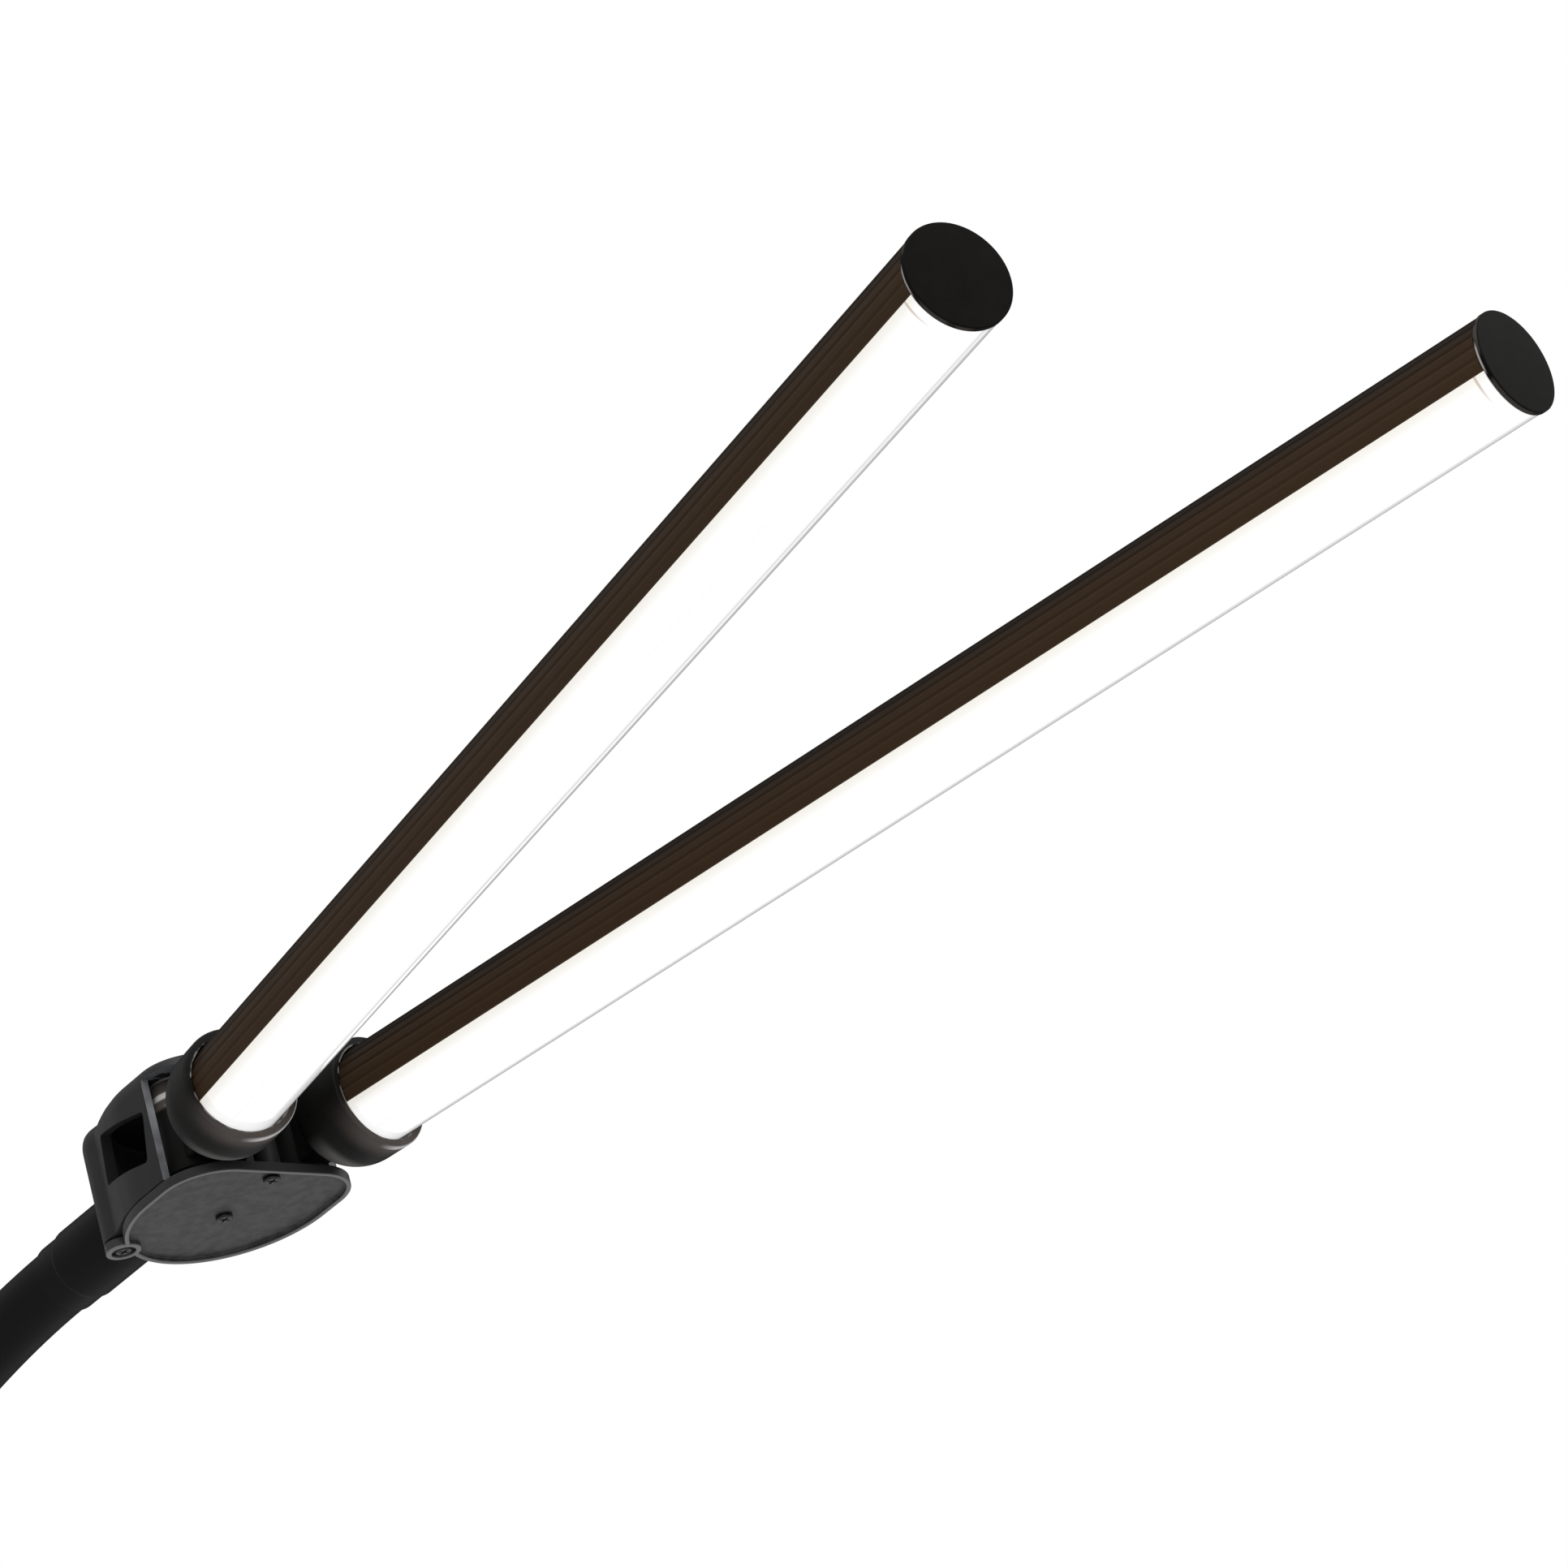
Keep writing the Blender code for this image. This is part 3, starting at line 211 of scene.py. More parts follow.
def surface(name, grid, look, home=UPRIGHT, capped=False, run=None):
    """A skin of quads over a grid of points, rows by columns by three.

    Each quad joins a point with its neighbours in the next row and column. Equal points are
    merged, which closes seams and poles, and capped fills the first and the last row.
    run gives each grid point's place on the skin in metres, kept as a UV map.
    """
    rows, columns = grid.shape[:2]
    index = np.arange(rows * columns).reshape(rows, columns)
    corners = [index[:-1, :-1], index[:-1, 1:], index[1:, 1:], index[1:, :-1]]
    faces = np.stack(corners, axis=-1).reshape(-1, 4).tolist()
    if capped:
        faces += [index[0, :-1].tolist(), index[-1, :-1].tolist()]
    mesh = bpy.data.meshes.new(name)
    mesh.from_pydata(grid.reshape(-1, 3) @ home[:3, :3].T + home[:3, 3], [], faces)
    if run is not None:
        used = np.empty(len(mesh.loops), np.int32)
        mesh.loops.foreach_get("vertex_index", used)
        flat = run.reshape(-1, 2)[used].astype(np.float32).ravel()
        mesh.uv_layers.new(name="run").data.foreach_set("uv", flat)
    build = bmesh.new()
    build.from_mesh(mesh)
    bmesh.ops.remove_doubles(build, verts=build.verts, dist=WELD)
    bmesh.ops.recalc_face_normals(build, faces=build.faces)
    build.to_mesh(mesh)
    build.free()
    mesh.materials.append(look)
    made = bpy.data.objects.new(name, mesh)
    bpy.context.scene.collection.objects.link(made)
    return shaded(made)


def shaded(piece):
    """Smooth shading, with every edge crisp that turns by more than the crease angle."""
    piece.data.shade_smooth()
    piece.data.set_sharp_from_angle(angle=CREASE)
    return piece


def travelled(line):
    """Distance along a line of points from its start, one for each point."""
    return np.append(0, np.cumsum(np.linalg.norm(np.diff(line, axis=0), axis=1)))


def turned(name, profile, look, home=UPRIGHT, steps=96):
    """A profile of (radius, height) points turned a full circle about its home's Z axis.

    Its map has the angle in u, and in v the distance along the profile.
    """
    angle = np.linspace(0, 2 * pi, steps + 1)
    radius, height = profile[:, :1], profile[:, 1:]
    grid = np.stack([radius * np.cos(angle), radius * np.sin(angle), height + 0 * angle], axis=-1)
    travel = travelled(profile)[:, None]
    run = np.stack([angle + 0 * travel, travel + 0 * angle], axis=-1)
    return surface(name, grid, look, home, run=run)


def mounted(piece, body, slot, *stood_for):
    """Let a finished piece ride on a body and stand for nodes; its slot is not used."""
    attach(piece, body)
    if stood_for:
        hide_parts(*stood_for)


def raised(colour, roughness, grain, depth):
    """What varies over most finishes: colour, gloss, and a grain that stands up by its depth."""
    normal = grain.node("Bump", {}, {"Height": grain, "Distance": depth})
    return {"Base Color": colour, "Roughness": roughness, "Normal": normal}


def rubber(place):
    """Soft black rubber: a dull mottled skin with fine pores."""
    pores = ramp(cloud(place, 0.0006), 0.35, 0.55)
    blotches = cloud(place, 0.012)
    black = tint(blotches, (0.016, 0.016, 0.016), (0.028, 0.028, 0.027))
    return raised(black, 0.78 + 0.12 * blotches, pores, 0.00008)


pad_rubber = finish("pad_rubber", rubber, Specular_IOR_Level=0.2)
pad_radius, _, pad_thickness = span("base_pad")[1]
pad_profile = rounded([
    (0, 0, 0), (pad_radius, 0, SOFT), (pad_radius, pad_thickness, FINE), (0, pad_thickness, 0),
])
mounted(turned("base_pad_skin", pad_profile, pad_rubber, steps=160), "stand", "pad_rubber", "base_pad")


# Weight, foot and clamp: a disc of cast iron with a channel for the lead, and the pole's threaded
# zinc foot drawn down through it by a nut and a washer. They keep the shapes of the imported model.
def mottled(name, dark, light, shade, rough, depth, grain=None, **fixed):
    """An even finish: noise mottles it from dark to light, and a grain stands up by its depth.

    shade and grain give the blotch size and detail of each noise, and without a grain the shade is
    both. rough gives the least roughness, what is added at most, and the noise that adds it: 0 the
    shade, 1 the grain.
    """

    def pattern(place):
        noises = cloud(place, *shade), cloud(place, *(grain or shade))
        least, added, which = rough
        return raised(tint(noises[0], dark, light), least + added * noises[which], noises[1], depth)

    return finish(name, pattern, **fixed)


def dressed(look, *names):
    """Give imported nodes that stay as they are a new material."""
    for name in names:
        nodes[name].material_slots[0].material = look


# Iron is rough as it leaves the sand, with darker patches; zinc plate has fine turning marks
cast_iron = mottled(
    "cast_iron", (0.045, 0.043, 0.041), (0.085, 0.080, 0.075),
    shade=(0.02, 2.0), grain=(0.0011, 5.0), depth=0.00025, rough=(0.62, 0.25, 1), Metallic=0.6,
)
dark_zinc = mottled(
    "dark_zinc", (0.022, 0.022, 0.024), (0.040, 0.040, 0.042),
    shade=(0.006, 2.0), grain=(0.00035, 2.0), depth=0.00001, rough=(0.30, 0.16, 0), Metallic=1.0,
)
dressed(cast_iron, "base_weight")
dressed(dark_zinc, "pole_foot", "base_nut", "base_washer")


# Power inlet: a round jack of grained black plastic pressed into the base's rear edge, with a
# centre pin of drawn steel, and behind it the lead, a round cable in soft vinyl that runs under
# the weight and up inside the pole.
control_black = mottled(
    "control_black", (0.0125, 0.0125, 0.0130), (0.0190, 0.0190, 0.0195), shade=(0.015, 2.0),
    grain=(0.00045, 3.0), depth=0.00003, rough=(0.50, 0.14, 1), Specular_IOR_Level=0.22,
)
lead_black = mottled(
    "lead_black", (0.012, 0.012, 0.012), (0.022, 0.022, 0.022),
    shade=(0.004, 2.0), rough=(0.50, 0.15, 0), depth=0.00002, Specular_IOR_Level=0.25,
)
bright_steel = mottled(
    "bright_steel", (0.50, 0.50, 0.51), (0.60, 0.60, 0.60),
    shade=(0.0005, 2.0), rough=(0.22, 0.16, 0), depth=0.000004, Metallic=1.0,
)
dressed(lead_black, "pole_lead")

INLET_BARREL = 0.0040
INLET_FLANGE = 0.0012
INLET_BORE = 0.0030
INLET_DEPTH = 0.009
INLET_PIN = 0.001
inlet_low, inlet_high = span("power_inlet")
inlet_radius = inlet_high[1]
inlet_length = inlet_high[0] - inlet_low[0]
inlet_middle = (inlet_low[2] + inlet_high[2]) / 2
inlet_home = homed((inlet_low[0], 0, inlet_middle), (0, 1, 0), (0, 0, 1), (1, 0, 0))
inlet_profile = rounded([
    (0, INLET_DEPTH, 0), (INLET_BORE, INLET_DEPTH, CRISP), (INLET_BORE, 0, EASED),
    (inlet_radius, 0, EASED), (inlet_radius, INLET_FLANGE, CRISP), (INLET_BARREL, INLET_FLANGE, 0),
    (INLET_BARREL, inlet_length, SOFT), (0, inlet_length, 0),
])
inlet = turned("power_jack", inlet_profile, control_black, inlet_home, 64)
mounted(inlet, "stand", "control_black", "power_inlet")
pin_top = INLET_FLANGE + INLET_PIN
pin_profile = rounded([
    (0, pin_top, 0), (INLET_PIN, pin_top, ROUND), (INLET_PIN, INLET_DEPTH, 0), (0, INLET_DEPTH, 0),
])
mounted(turned("power_jack_pin", pin_profile, bright_steel, inlet_home, 32), "stand", "bright_steel")


# Base cover: a lid pressed from sheet steel with a rolled edge, powder coated satin black. It
# drops over the weight and is held by the pole's foot; the jack looks out of a hole in its rim.
def extruded(name, outline, low, high, look, home):
    """A closed outline of (x, y) points carried from one height to another, with flat ends.

    Its map has the height in u, and in v the distance along the outline.
    """
    heights = np.array([[low], [high]])
    x, y = outline.T
    grid = np.stack([x + 0 * heights, y + 0 * heights, heights + 0 * x], axis=-1)
    travel = travelled(outline)
    run = np.stack([heights + 0 * travel, travel + 0 * heights], axis=-1)
    return surface(name, grid, look, home, True, run)


def carved(piece, operation, *tools):
    """Cut tools out of a piece, or join them to it, and take the tools away."""
    for tool in tools:
        step = piece.modifiers.new(tool.name, "BOOLEAN")
        step.operation = operation
        step.solver = "EXACT"
        step.material_mode = "TRANSFER"
        step.object = tool
    graph = bpy.context.evaluated_depsgraph_get()
    piece.data = bpy.data.meshes.new_from_object(piece.evaluated_get(graph))
    piece.modifiers.clear()
    for tool in tools:
        bpy.data.objects.remove(tool)
    return shaded(piece)


def circle(radius, steps=48):
    """Closed outline of a circle about the middle."""
    angle = np.linspace(0, 2 * pi, steps + 1)
    return radius * np.column_stack([np.cos(angle), np.sin(angle)])


def powder(place):
    """Powder paint: an orange-peel skin, a slightly uneven gloss and faint lighter specks."""
    peel = cloud(place, 0.0016)
    drift = cloud(place, 0.03)
    specks = ramp(cloud(place, 0.0004), 0.70, 0.76)
    black = tint(specks * 0.5, (0.0125, 0.0125, 0.0130), (0.030, 0.030, 0.031))
    return raised(black, 0.36 + 0.10 * drift + 0.06 * peel, peel, 0.00006)


base_paint = finish("base_paint", powder, Specular_IOR_Level=0.3)
CLEARANCE = 0.0003
STUD_HOLE = 0.0053
COVER_WALL = 0.0018
COVER_EDGE = 0.005
HEM = 0.0005
cover_low, cover_high = span("base_cover")
rim, top, lift = cover_high[0], cover_high[2], cover_low[2]
wall = rim - COVER_WALL
cover_profile = rounded([
    (STUD_HOLE, top, 0), (rim, top, COVER_EDGE), (rim, lift, HEM), (wall, lift, HEM),
    (wall, top - COVER_WALL, COVER_EDGE - COVER_WALL), (STUD_HOLE, top - COVER_WALL, 0),
], closed=True)
cover = turned("base_lid", cover_profile, base_paint, steps=180)
hole = circle(INLET_BARREL + CLEARANCE)
jack_hole = extruded("jack_hole", hole, -inlet_radius, inlet_radius, base_paint, inlet_home)
mounted(carved(cover, "DIFFERENCE", jack_hole), "stand", "base_paint", "base_cover")


# Pole: a flared socket on the lid, then three steel tubes with the same paint, screwed together
# over zinc joiners of which a thin ring shows between the tubes.
POLE_WALL = 0.0012
POLE_EDGE = 0.0004
PLUG_CLEARANCE = 0.0003
JOINER_BORE = 0.0035
RING_EDGE = 0.0003
SOCKET_TOP = 0.0135
socket_low, socket_high = span("pole_socket")
pole_radius = span("pole_lower")[1][0]
socket_bore = pole_radius + CLEARANCE
turn = np.linspace(0, pi / 2, 24)
flare_radius = SOCKET_TOP + (socket_high[0] - SOCKET_TOP) * (1 - np.cos(turn))
flare_height = socket_high[2] - (socket_high[2] - socket_low[2]) * np.sin(turn)
flare = np.column_stack([flare_radius, flare_height])
socket_rim = rounded([
    (socket_bore, socket_low[2], 0), (socket_bore, socket_high[2], FINE),
    (SOCKET_TOP, socket_high[2], ROUND), (*flare[4], 0),
])
socket_profile = np.concatenate([socket_rim, flare[5:], socket_rim[:1]])
mounted(turned("pole_flare", socket_profile, base_paint, steps=128), "stand", "base_paint", "pole_socket")


def tube_wall(bore, outer, low, high, edge):
    """Closed section of a tube's wall, its two outer edges rounded."""
    return rounded([(bore, low, 0), (bore, high, 0), (outer, high, edge), (outer, low, edge)], True)


for name in ("pole_lower", "pole_middle", "pole_upper"):
    low, high = (corner[2] for corner in span(name))
    tube = tube_wall(pole_radius - POLE_WALL, pole_radius, low, high, POLE_EDGE)
    mounted(turned(name + "_tube", tube, base_paint), "stand", "base_paint", name)

RING_HEIGHT = 0.003
plug_radius = pole_radius - POLE_WALL - PLUG_CLEARANCE
for name in ("pole_joiner_lower", "pole_joiner_upper"):
    low, high = (corner[2] for corner in span(name))
    ring_low = (low + high - RING_HEIGHT) / 2
    ring_high = ring_low + RING_HEIGHT
    joiner_profile = rounded([
        (JOINER_BORE, high, 0), (plug_radius, high, POLE_EDGE), (plug_radius, ring_high, 0),
        (pole_radius, ring_high, RING_EDGE), (pole_radius, ring_low, RING_EDGE),
        (plug_radius, ring_low, 0), (plug_radius, low, POLE_EDGE), (JOINER_BORE, low, 0),
    ], closed=True)
    mounted(turned(name + "_ring", joiner_profile, dark_zinc), "stand", "dark_zinc", name)


# Control housing: two moulded halves screwed together round the upper pole section, with a green
# board behind the front one. The screws come from behind, with their heads in counterbores.
def stacked(name, plan, sides, look, home):
    """Closed plans one above the other: sides lists (inset, height), plan(inset) the outline.

    Its map has the height in u and the inset in v.
    """
    plans = np.stack([plan(inset) for inset, height in sides])
    heights = np.broadcast_to(sides[:, None, 1:], (*plans.shape[:2], 1))
    insets = np.broadcast_to(sides[:, None, :1], heights.shape)
    grid = np.concatenate([plans, heights], axis=-1)
    return surface(name, grid, look, home, True, np.concatenate([heights, insets], axis=-1))


def rectangle(low, high, radius=0.0):
    """Closed outline of a rectangle between two corners, its own corners rounded."""
    (left, bottom), (right, top) = low, high
    corners = [(left, bottom), (right, bottom), (right, top), (left, top)]
    return rounded([(*corner, radius) for corner in corners], closed=True)


def shifted(home, x, y, z):
    """The same home moved along its own axes."""
    moved = home.copy()
    moved[:3, 3] = home[:3, 3] + home[:3, :3] @ (x, y, z)
    return moved


WEAVE = 1500.0  # cells to the metre


def solder_mask(place):
    """Green varnish over glass cloth, with the cloth's weave faintly raised."""
    cells = {"Vector": place, "Scale": WEAVE}
    weave = place.node("TexVoronoi", {"distance": "MANHATTAN"}, cells)
    green = tint(cloud(place, 0.004), (0.014, 0.080, 0.040), (0.022, 0.115, 0.055))
    return raised(green, 0.34 + 0.1 * weave, weave, 0.00002)


board_green = finish("board_green", solder_mask)
dressed(board_green, "control_board")
# Grey moulded rubber, slightly polished by fingers
button_grey = mottled(
    "button_grey", (0.060, 0.059, 0.057), (0.085, 0.084, 0.081),
    shade=(0.0004, 3.0), rough=(0.48, 0.2, 1), depth=0.00003, Specular_IOR_Level=0.35,
)

CONTROL_CORNER = 0.006
CONTROL_EDGE = 0.0022
CONTROL_WALL = 0.002
SCREW_SHANK = 0.0013
SCREW_HEAD = 0.0024
SCREW_HEAD_HEIGHT = 0.0010
SCREW_SINK = 0.0026
SCREW_CLEARANCE = 0.0002
CROSS_LENGTH = 0.0032
CROSS_WIDTH = 0.0006
CROSS_DEPTH = 0.0006
front_low, front_high = span("control_front")
back_low, back_high = span("control_back")
control_side = front_high[1]
control_home = homed((0, 0, (front_low[2] + front_high[2]) / 2), (1, 0, 0), (0, 1, 0), (0, 0, 1))
control_half = (front_high[2] - front_low[2]) / 2
forward_home = homed(control_home[:3, 3], (0, 1, 0), (0, 0, 1), (1, 0, 0))


def half_shell(name, parting, reach):
    """One half of the housing: flat at the parting plane, rounded towards its reach."""
    side = np.sign(reach)

    def plan(inset):
        wide = control_side - inset
        far = reach - side * inset
        corner = CONTROL_CORNER - inset
        outline = [(parting, -wide, 0), (far, -wide, corner), (far, wide, corner), (parting, wide, 0)]
        return rounded(outline, closed=True)

    rim = 1.5 * CONTROL_EDGE
    bottom, top = (0, -control_half, CONTROL_EDGE), (0, control_half, CONTROL_EDGE)
    sides = rounded([(rim, -control_half, 0), bottom, top, (rim, control_half, 0)])
    return stacked(name, plan, sides, control_black, control_home)


def screw(name, home, seat, length, body, node):
    """A pan-head screw with a cross recess; its head lies below the seat, its thread above it."""
    face, end = seat - SCREW_HEAD_HEIGHT, seat + length
    profile = rounded([
        (0, face, 0), (SCREW_HEAD, face, ROUND), (SCREW_HEAD, seat, 0),
        (SCREW_SHANK, seat, 0), (SCREW_SHANK, end, EASED), (0, end, 0),
    ])
    piece = turned(name, profile, dark_zinc, home, 40)
    arms = [(CROSS_LENGTH / 2, CROSS_WIDTH / 2), (CROSS_WIDTH / 2, CROSS_LENGTH / 2)]
    low, high = face - SCREW_HEAD_HEIGHT, face + CROSS_DEPTH
    slots = [extruded("slot", rectangle((-x, -y), (x, y)), low, high, dark_zinc, home) for x, y in arms]
    return mounted(carved(piece, "DIFFERENCE", *slots), body, "dark_zinc", node)


def inner(name, outline, low, high, home):
    """A cutter for the control shells."""
    return extruded(name, outline, low, high, control_black, home)


button_low, button_high = span("power_button")
button_rise = (button_low[2] + button_high[2]) / 2 - control_home[2, 3]
button_home = shifted(forward_home, 0, button_rise, 0)
BUTTON_RADIUS = 0.006
BUTTON_FLANGE_HEIGHT = 0.001
BUTTON_EDGE = 0.0007
BUTTON_DISH = 0.0005
BUTTON_CLEARANCE = 0.0002
BEZEL = 0.0011
control_front = half_shell("control_front_shell", front_low[0], front_high[0])
cavity_back = pole_radius + CLEARANCE + CONTROL_WALL
cavity_front = front_high[0] - CONTROL_WALL
cavity_side = control_side - 2 * CONTROL_WALL
cavity_half = control_half - CONTROL_WALL
bezel_bore = BUTTON_RADIUS + BUTTON_CLEARANCE
bezel_profile = np.array([
    (0, cavity_back + CONTROL_WALL), (bezel_bore, cavity_back + CONTROL_WALL),
    (bezel_bore, front_high[0] - BEZEL), (bezel_bore + 2 * BEZEL, front_high[0] + BEZEL),
    (0, front_high[0] + BEZEL),
])
cavity = rectangle((-cavity_side, -cavity_half), (cavity_side, cavity_half), BLUNT)
carved(
    control_front, "DIFFERENCE",
    inner("hollow", cavity, cavity_back, cavity_front, forward_home),
    turned("bezel", bezel_profile, control_black, button_home),
    inner("lead_hole", circle(JOINER_BORE), 0, cavity_back + CONTROL_WALL, forward_home),
)
control_back = half_shell("control_back_shell", back_high[0], back_low[0])
PAST = 1.0  # a cutter that reaches so far runs past the whole housing
for name in ("control_screw_left", "control_screw_right"):
    low, high = span(name)
    side, rise = (low[1] + high[1]) / 2, (low[2] + high[2]) / 2
    home = homed((0, side, rise), (0, 1, 0), (0, 0, 1), (1, 0, 0))
    seat = low[0] + SCREW_SINK + SCREW_HEAD_HEIGHT
    shank_hole = circle(SCREW_SHANK + SCREW_CLEARANCE, 32)
    head_hole = circle(SCREW_HEAD + SCREW_CLEARANCE, 48)
    for shell in (control_front, control_back):
        carved(shell, "DIFFERENCE", inner("shank_hole", shank_hole, -PAST, high[0] + CLEARANCE, home))
    carved(control_back, "DIFFERENCE", inner("head_hole", head_hole, -PAST, seat + CLEARANCE, home))
    screw(name + "_cross", home, seat, high[0] - seat, "stand", name)
pole_bore = circle(socket_bore, 96)
for shell, node in ((control_front, "control_front"), (control_back, "control_back")):
    carved(shell, "DIFFERENCE", inner("pole_bore", pole_bore, -PAST, PAST, control_home))
    mounted(shell, "stand", "control_black", node)

dish = np.linspace(0, 1, 16)[:, None]
dish_height = button_high[0] - BUTTON_DISH * (1 - dish**2)
button_top = np.hstack([dish * (BUTTON_RADIUS - BUTTON_EDGE), dish_height])
flange_top = button_low[0] + BUTTON_FLANGE_HEIGHT
button_side = rounded([
    (*button_top[-1], 0), (BUTTON_RADIUS, button_high[0], BUTTON_EDGE / 2),
    (BUTTON_RADIUS, flange_top, 0), (button_high[1], flange_top, 0),
    (button_high[1], button_low[0], 0), (0, button_low[0], 0),
])
button_profile = np.concatenate([button_top[:-1], button_side])
button = turned("button_cap", button_profile, button_grey, button_home)
mounted(button, "button", "button_grey", "power_button")


# Ferrule: a turned steel sleeve, painted like the pole. Its plug screws into the top pole section
# and the foot of the gooseneck sits in its bore.
FERRULE_LENGTH = 0.034
FERRULE_DEPTH = 0.020
FERRULE_TOP = 0.0116
FERRULE_BLEND = 0.030
ferrule_low, ferrule_high = span("neck_ferrule")
neck_start = ferrule_high[2]
ferrule_foot = neck_start - FERRULE_LENGTH
neck_radius = span("neck_foot")[1][1]
neck_bore = neck_radius + CLEARANCE
bore_end = neck_start - FERRULE_DEPTH
ferrule_profile = rounded([
    (neck_bore, bore_end, 0), (neck_bore, neck_start, FINE), (FERRULE_TOP, neck_start, FULL),
    (FERRULE_TOP, neck_start - FERRULE_DEPTH / 4, FERRULE_BLEND),
    (ferrule_high[0], ferrule_foot + FERRULE_LENGTH / 2, FERRULE_BLEND),
    (ferrule_high[0], ferrule_foot, SOFT), (plug_radius, ferrule_foot, 0),
    (plug_radius, ferrule_low[2], POLE_EDGE), (JOINER_BORE, ferrule_low[2], 0), (JOINER_BORE, bore_end, 0),
], closed=True)
mounted(turned("neck_ferrule_sleeve", ferrule_profile, base_paint), "stand", "base_paint", "neck_ferrule")


# Gooseneck: a wound steel core in a smooth black rubber tube. The tube is made in one skin for each
# joint, and neighbouring skins meet end to end.
NECK_BORE = 0.0048
NECK_BEND_REACH = 0.0275
NECK_ROWS = 25
NECK_COLUMNS = 64
last_side = joints["neck_side_4"]
neck_joints = sum(name.startswith("neck_") for name in joints)
axis, joint_place = np.array(last_side["axis"]), np.array(last_side["pos_m"])
neck_step = np.arctan2(-axis[2], axis[0]) / (neck_joints - 0.5)
neck_bend = (joint_place[2] - neck_start) / sin(neck_step * (neck_joints - 0.5))
neck_pitch = neck_bend * neck_step
neck_length = neck_pitch * neck_joints


def neck_line(distance):
    """Places and directions at distances along the neck: straight up, an even arc, and straight on.

    On the arc both follow from the turn, which is the distance over the bend radius.
    """
    turn = np.clip(distance, 0, neck_length) / neck_bend
    beyond = distance - turn * neck_bend
    along = np.stack([np.sin(turn), 0 * turn, np.cos(turn)], axis=-1)
    arc = neck_bend * np.stack([1 - np.cos(turn), 0 * turn, np.sin(turn)], axis=-1)
    return arc + along * beyond[:, None] + (0, 0, neck_start), along


def neck_skin(name, first, last, look):
    """A tube with a wall along the neck: an outer and an inner side joined at both ends.

    Each row is a circle square to the line, from the in-plane normal and the sideways axis.
    """
    distance = np.linspace(first, last, NECK_ROWS)
    distance = np.concatenate([distance, distance[::-1], distance[:1]])
    radius = np.repeat([neck_radius, NECK_BORE, neck_radius], [NECK_ROWS, NECK_ROWS, 1])[:, None, None]
    place, along = neck_line(distance)
    normal = np.stack([along[:, 2], 0 * distance, -along[:, 0]], axis=-1)[:, None]
    angle = np.linspace(0, 2 * pi, NECK_COLUMNS + 1)[None, :, None]
    grid = place[:, None] + radius * (normal * np.cos(angle) + np.array([0, 1, 0]) * np.sin(angle))
    piece = surface(name, grid, look)
    rest = np.empty(len(piece.data.vertices) * 3, np.float32)
    piece.data.vertices.foreach_get("co", rest)
    piece.data.attributes.new("rest", "FLOAT_VECTOR", "POINT").data.foreach_set("vector", rest)
    return piece


def neck_tube(place):
    """Smooth matt rubber: faint blotches and a very fine grain, fixed to the skin's resting shape."""
    rest = place.node("Attribute", {"attribute_name": "rest"}, {}, "Vector")
    blotches = cloud(rest, 0.010)
    black = tint(blotches, (0.0030, 0.0030, 0.0031), (0.0055, 0.0055, 0.0056))
    return raised(black, 0.50 + 0.12 * blotches, cloud(rest, 0.0005), 0.00002)


neck_black = finish("neck_black", neck_tube, IOR=1.15)
NECK_SLEEVE_DEPTH = 0.034
for number in range(1, neck_joints + 1):
    first = (number - 1) * neck_pitch
    last = first + neck_pitch
    middle = (first + last) / 2
    stood_for = ["neck_foot"] if number == 1 else [f"neck_link_{number - 1}"]
    if number == 1:
        first = CLEARANCE - FERRULE_DEPTH
    if number == neck_joints:
        last = neck_length + NECK_SLEEVE_DEPTH - CLEARANCE
        stood_for.append("neck_head")
    skin = neck_skin(f"neck_skin_{number}", first, last, neck_black)
    ends, _ = neck_line(middle + np.array([-NECK_BEND_REACH, NECK_BEND_REACH]))
    tuple(ends[0])
    tuple(ends[1])
    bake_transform(skin)
    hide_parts(*stood_for)


# Sleeve: a turned black ferrule pushed over the gooseneck's end. Its hollow threaded spigot goes
# through the hinge block's rear wall, where a zinc nut holds it.
SPIGOT_LENGTH = 0.010
SPIGOT_RADIUS = 0.005
SPIGOT_BORE = 0.0032
SLEEVE_LIP = 0.009
LIP_WALL = 0.0003
LIP_STEP = 0.0010
up = np.array(joints["left_bar_swing"]["axis"])
left_pivot = np.array(joints["left_bar_swing"]["pos_m"])
right_pivot = np.array(joints["right_bar_swing"]["pos_m"])
leftward = (left_pivot - right_pivot) / np.linalg.norm(left_pivot - right_pivot)
forward = np.cross(leftward, up)
pivots = homed((left_pivot + right_pivot) / 2, forward, leftward, up)
sleeve_low, sleeve_high = span("neck_sleeve", pivots)
sleeve_place = shifted(pivots, sleeve_low[0], 0, (sleeve_low[2] + sleeve_high[2]) / 2)
sleeve_home = homed(sleeve_place[:3, 3], leftward, up, forward)
sleeve_radius = sleeve_high[1]
sleeve_end = sleeve_high[0] - sleeve_low[0]
sleeve_length = sleeve_end - SPIGOT_LENGTH
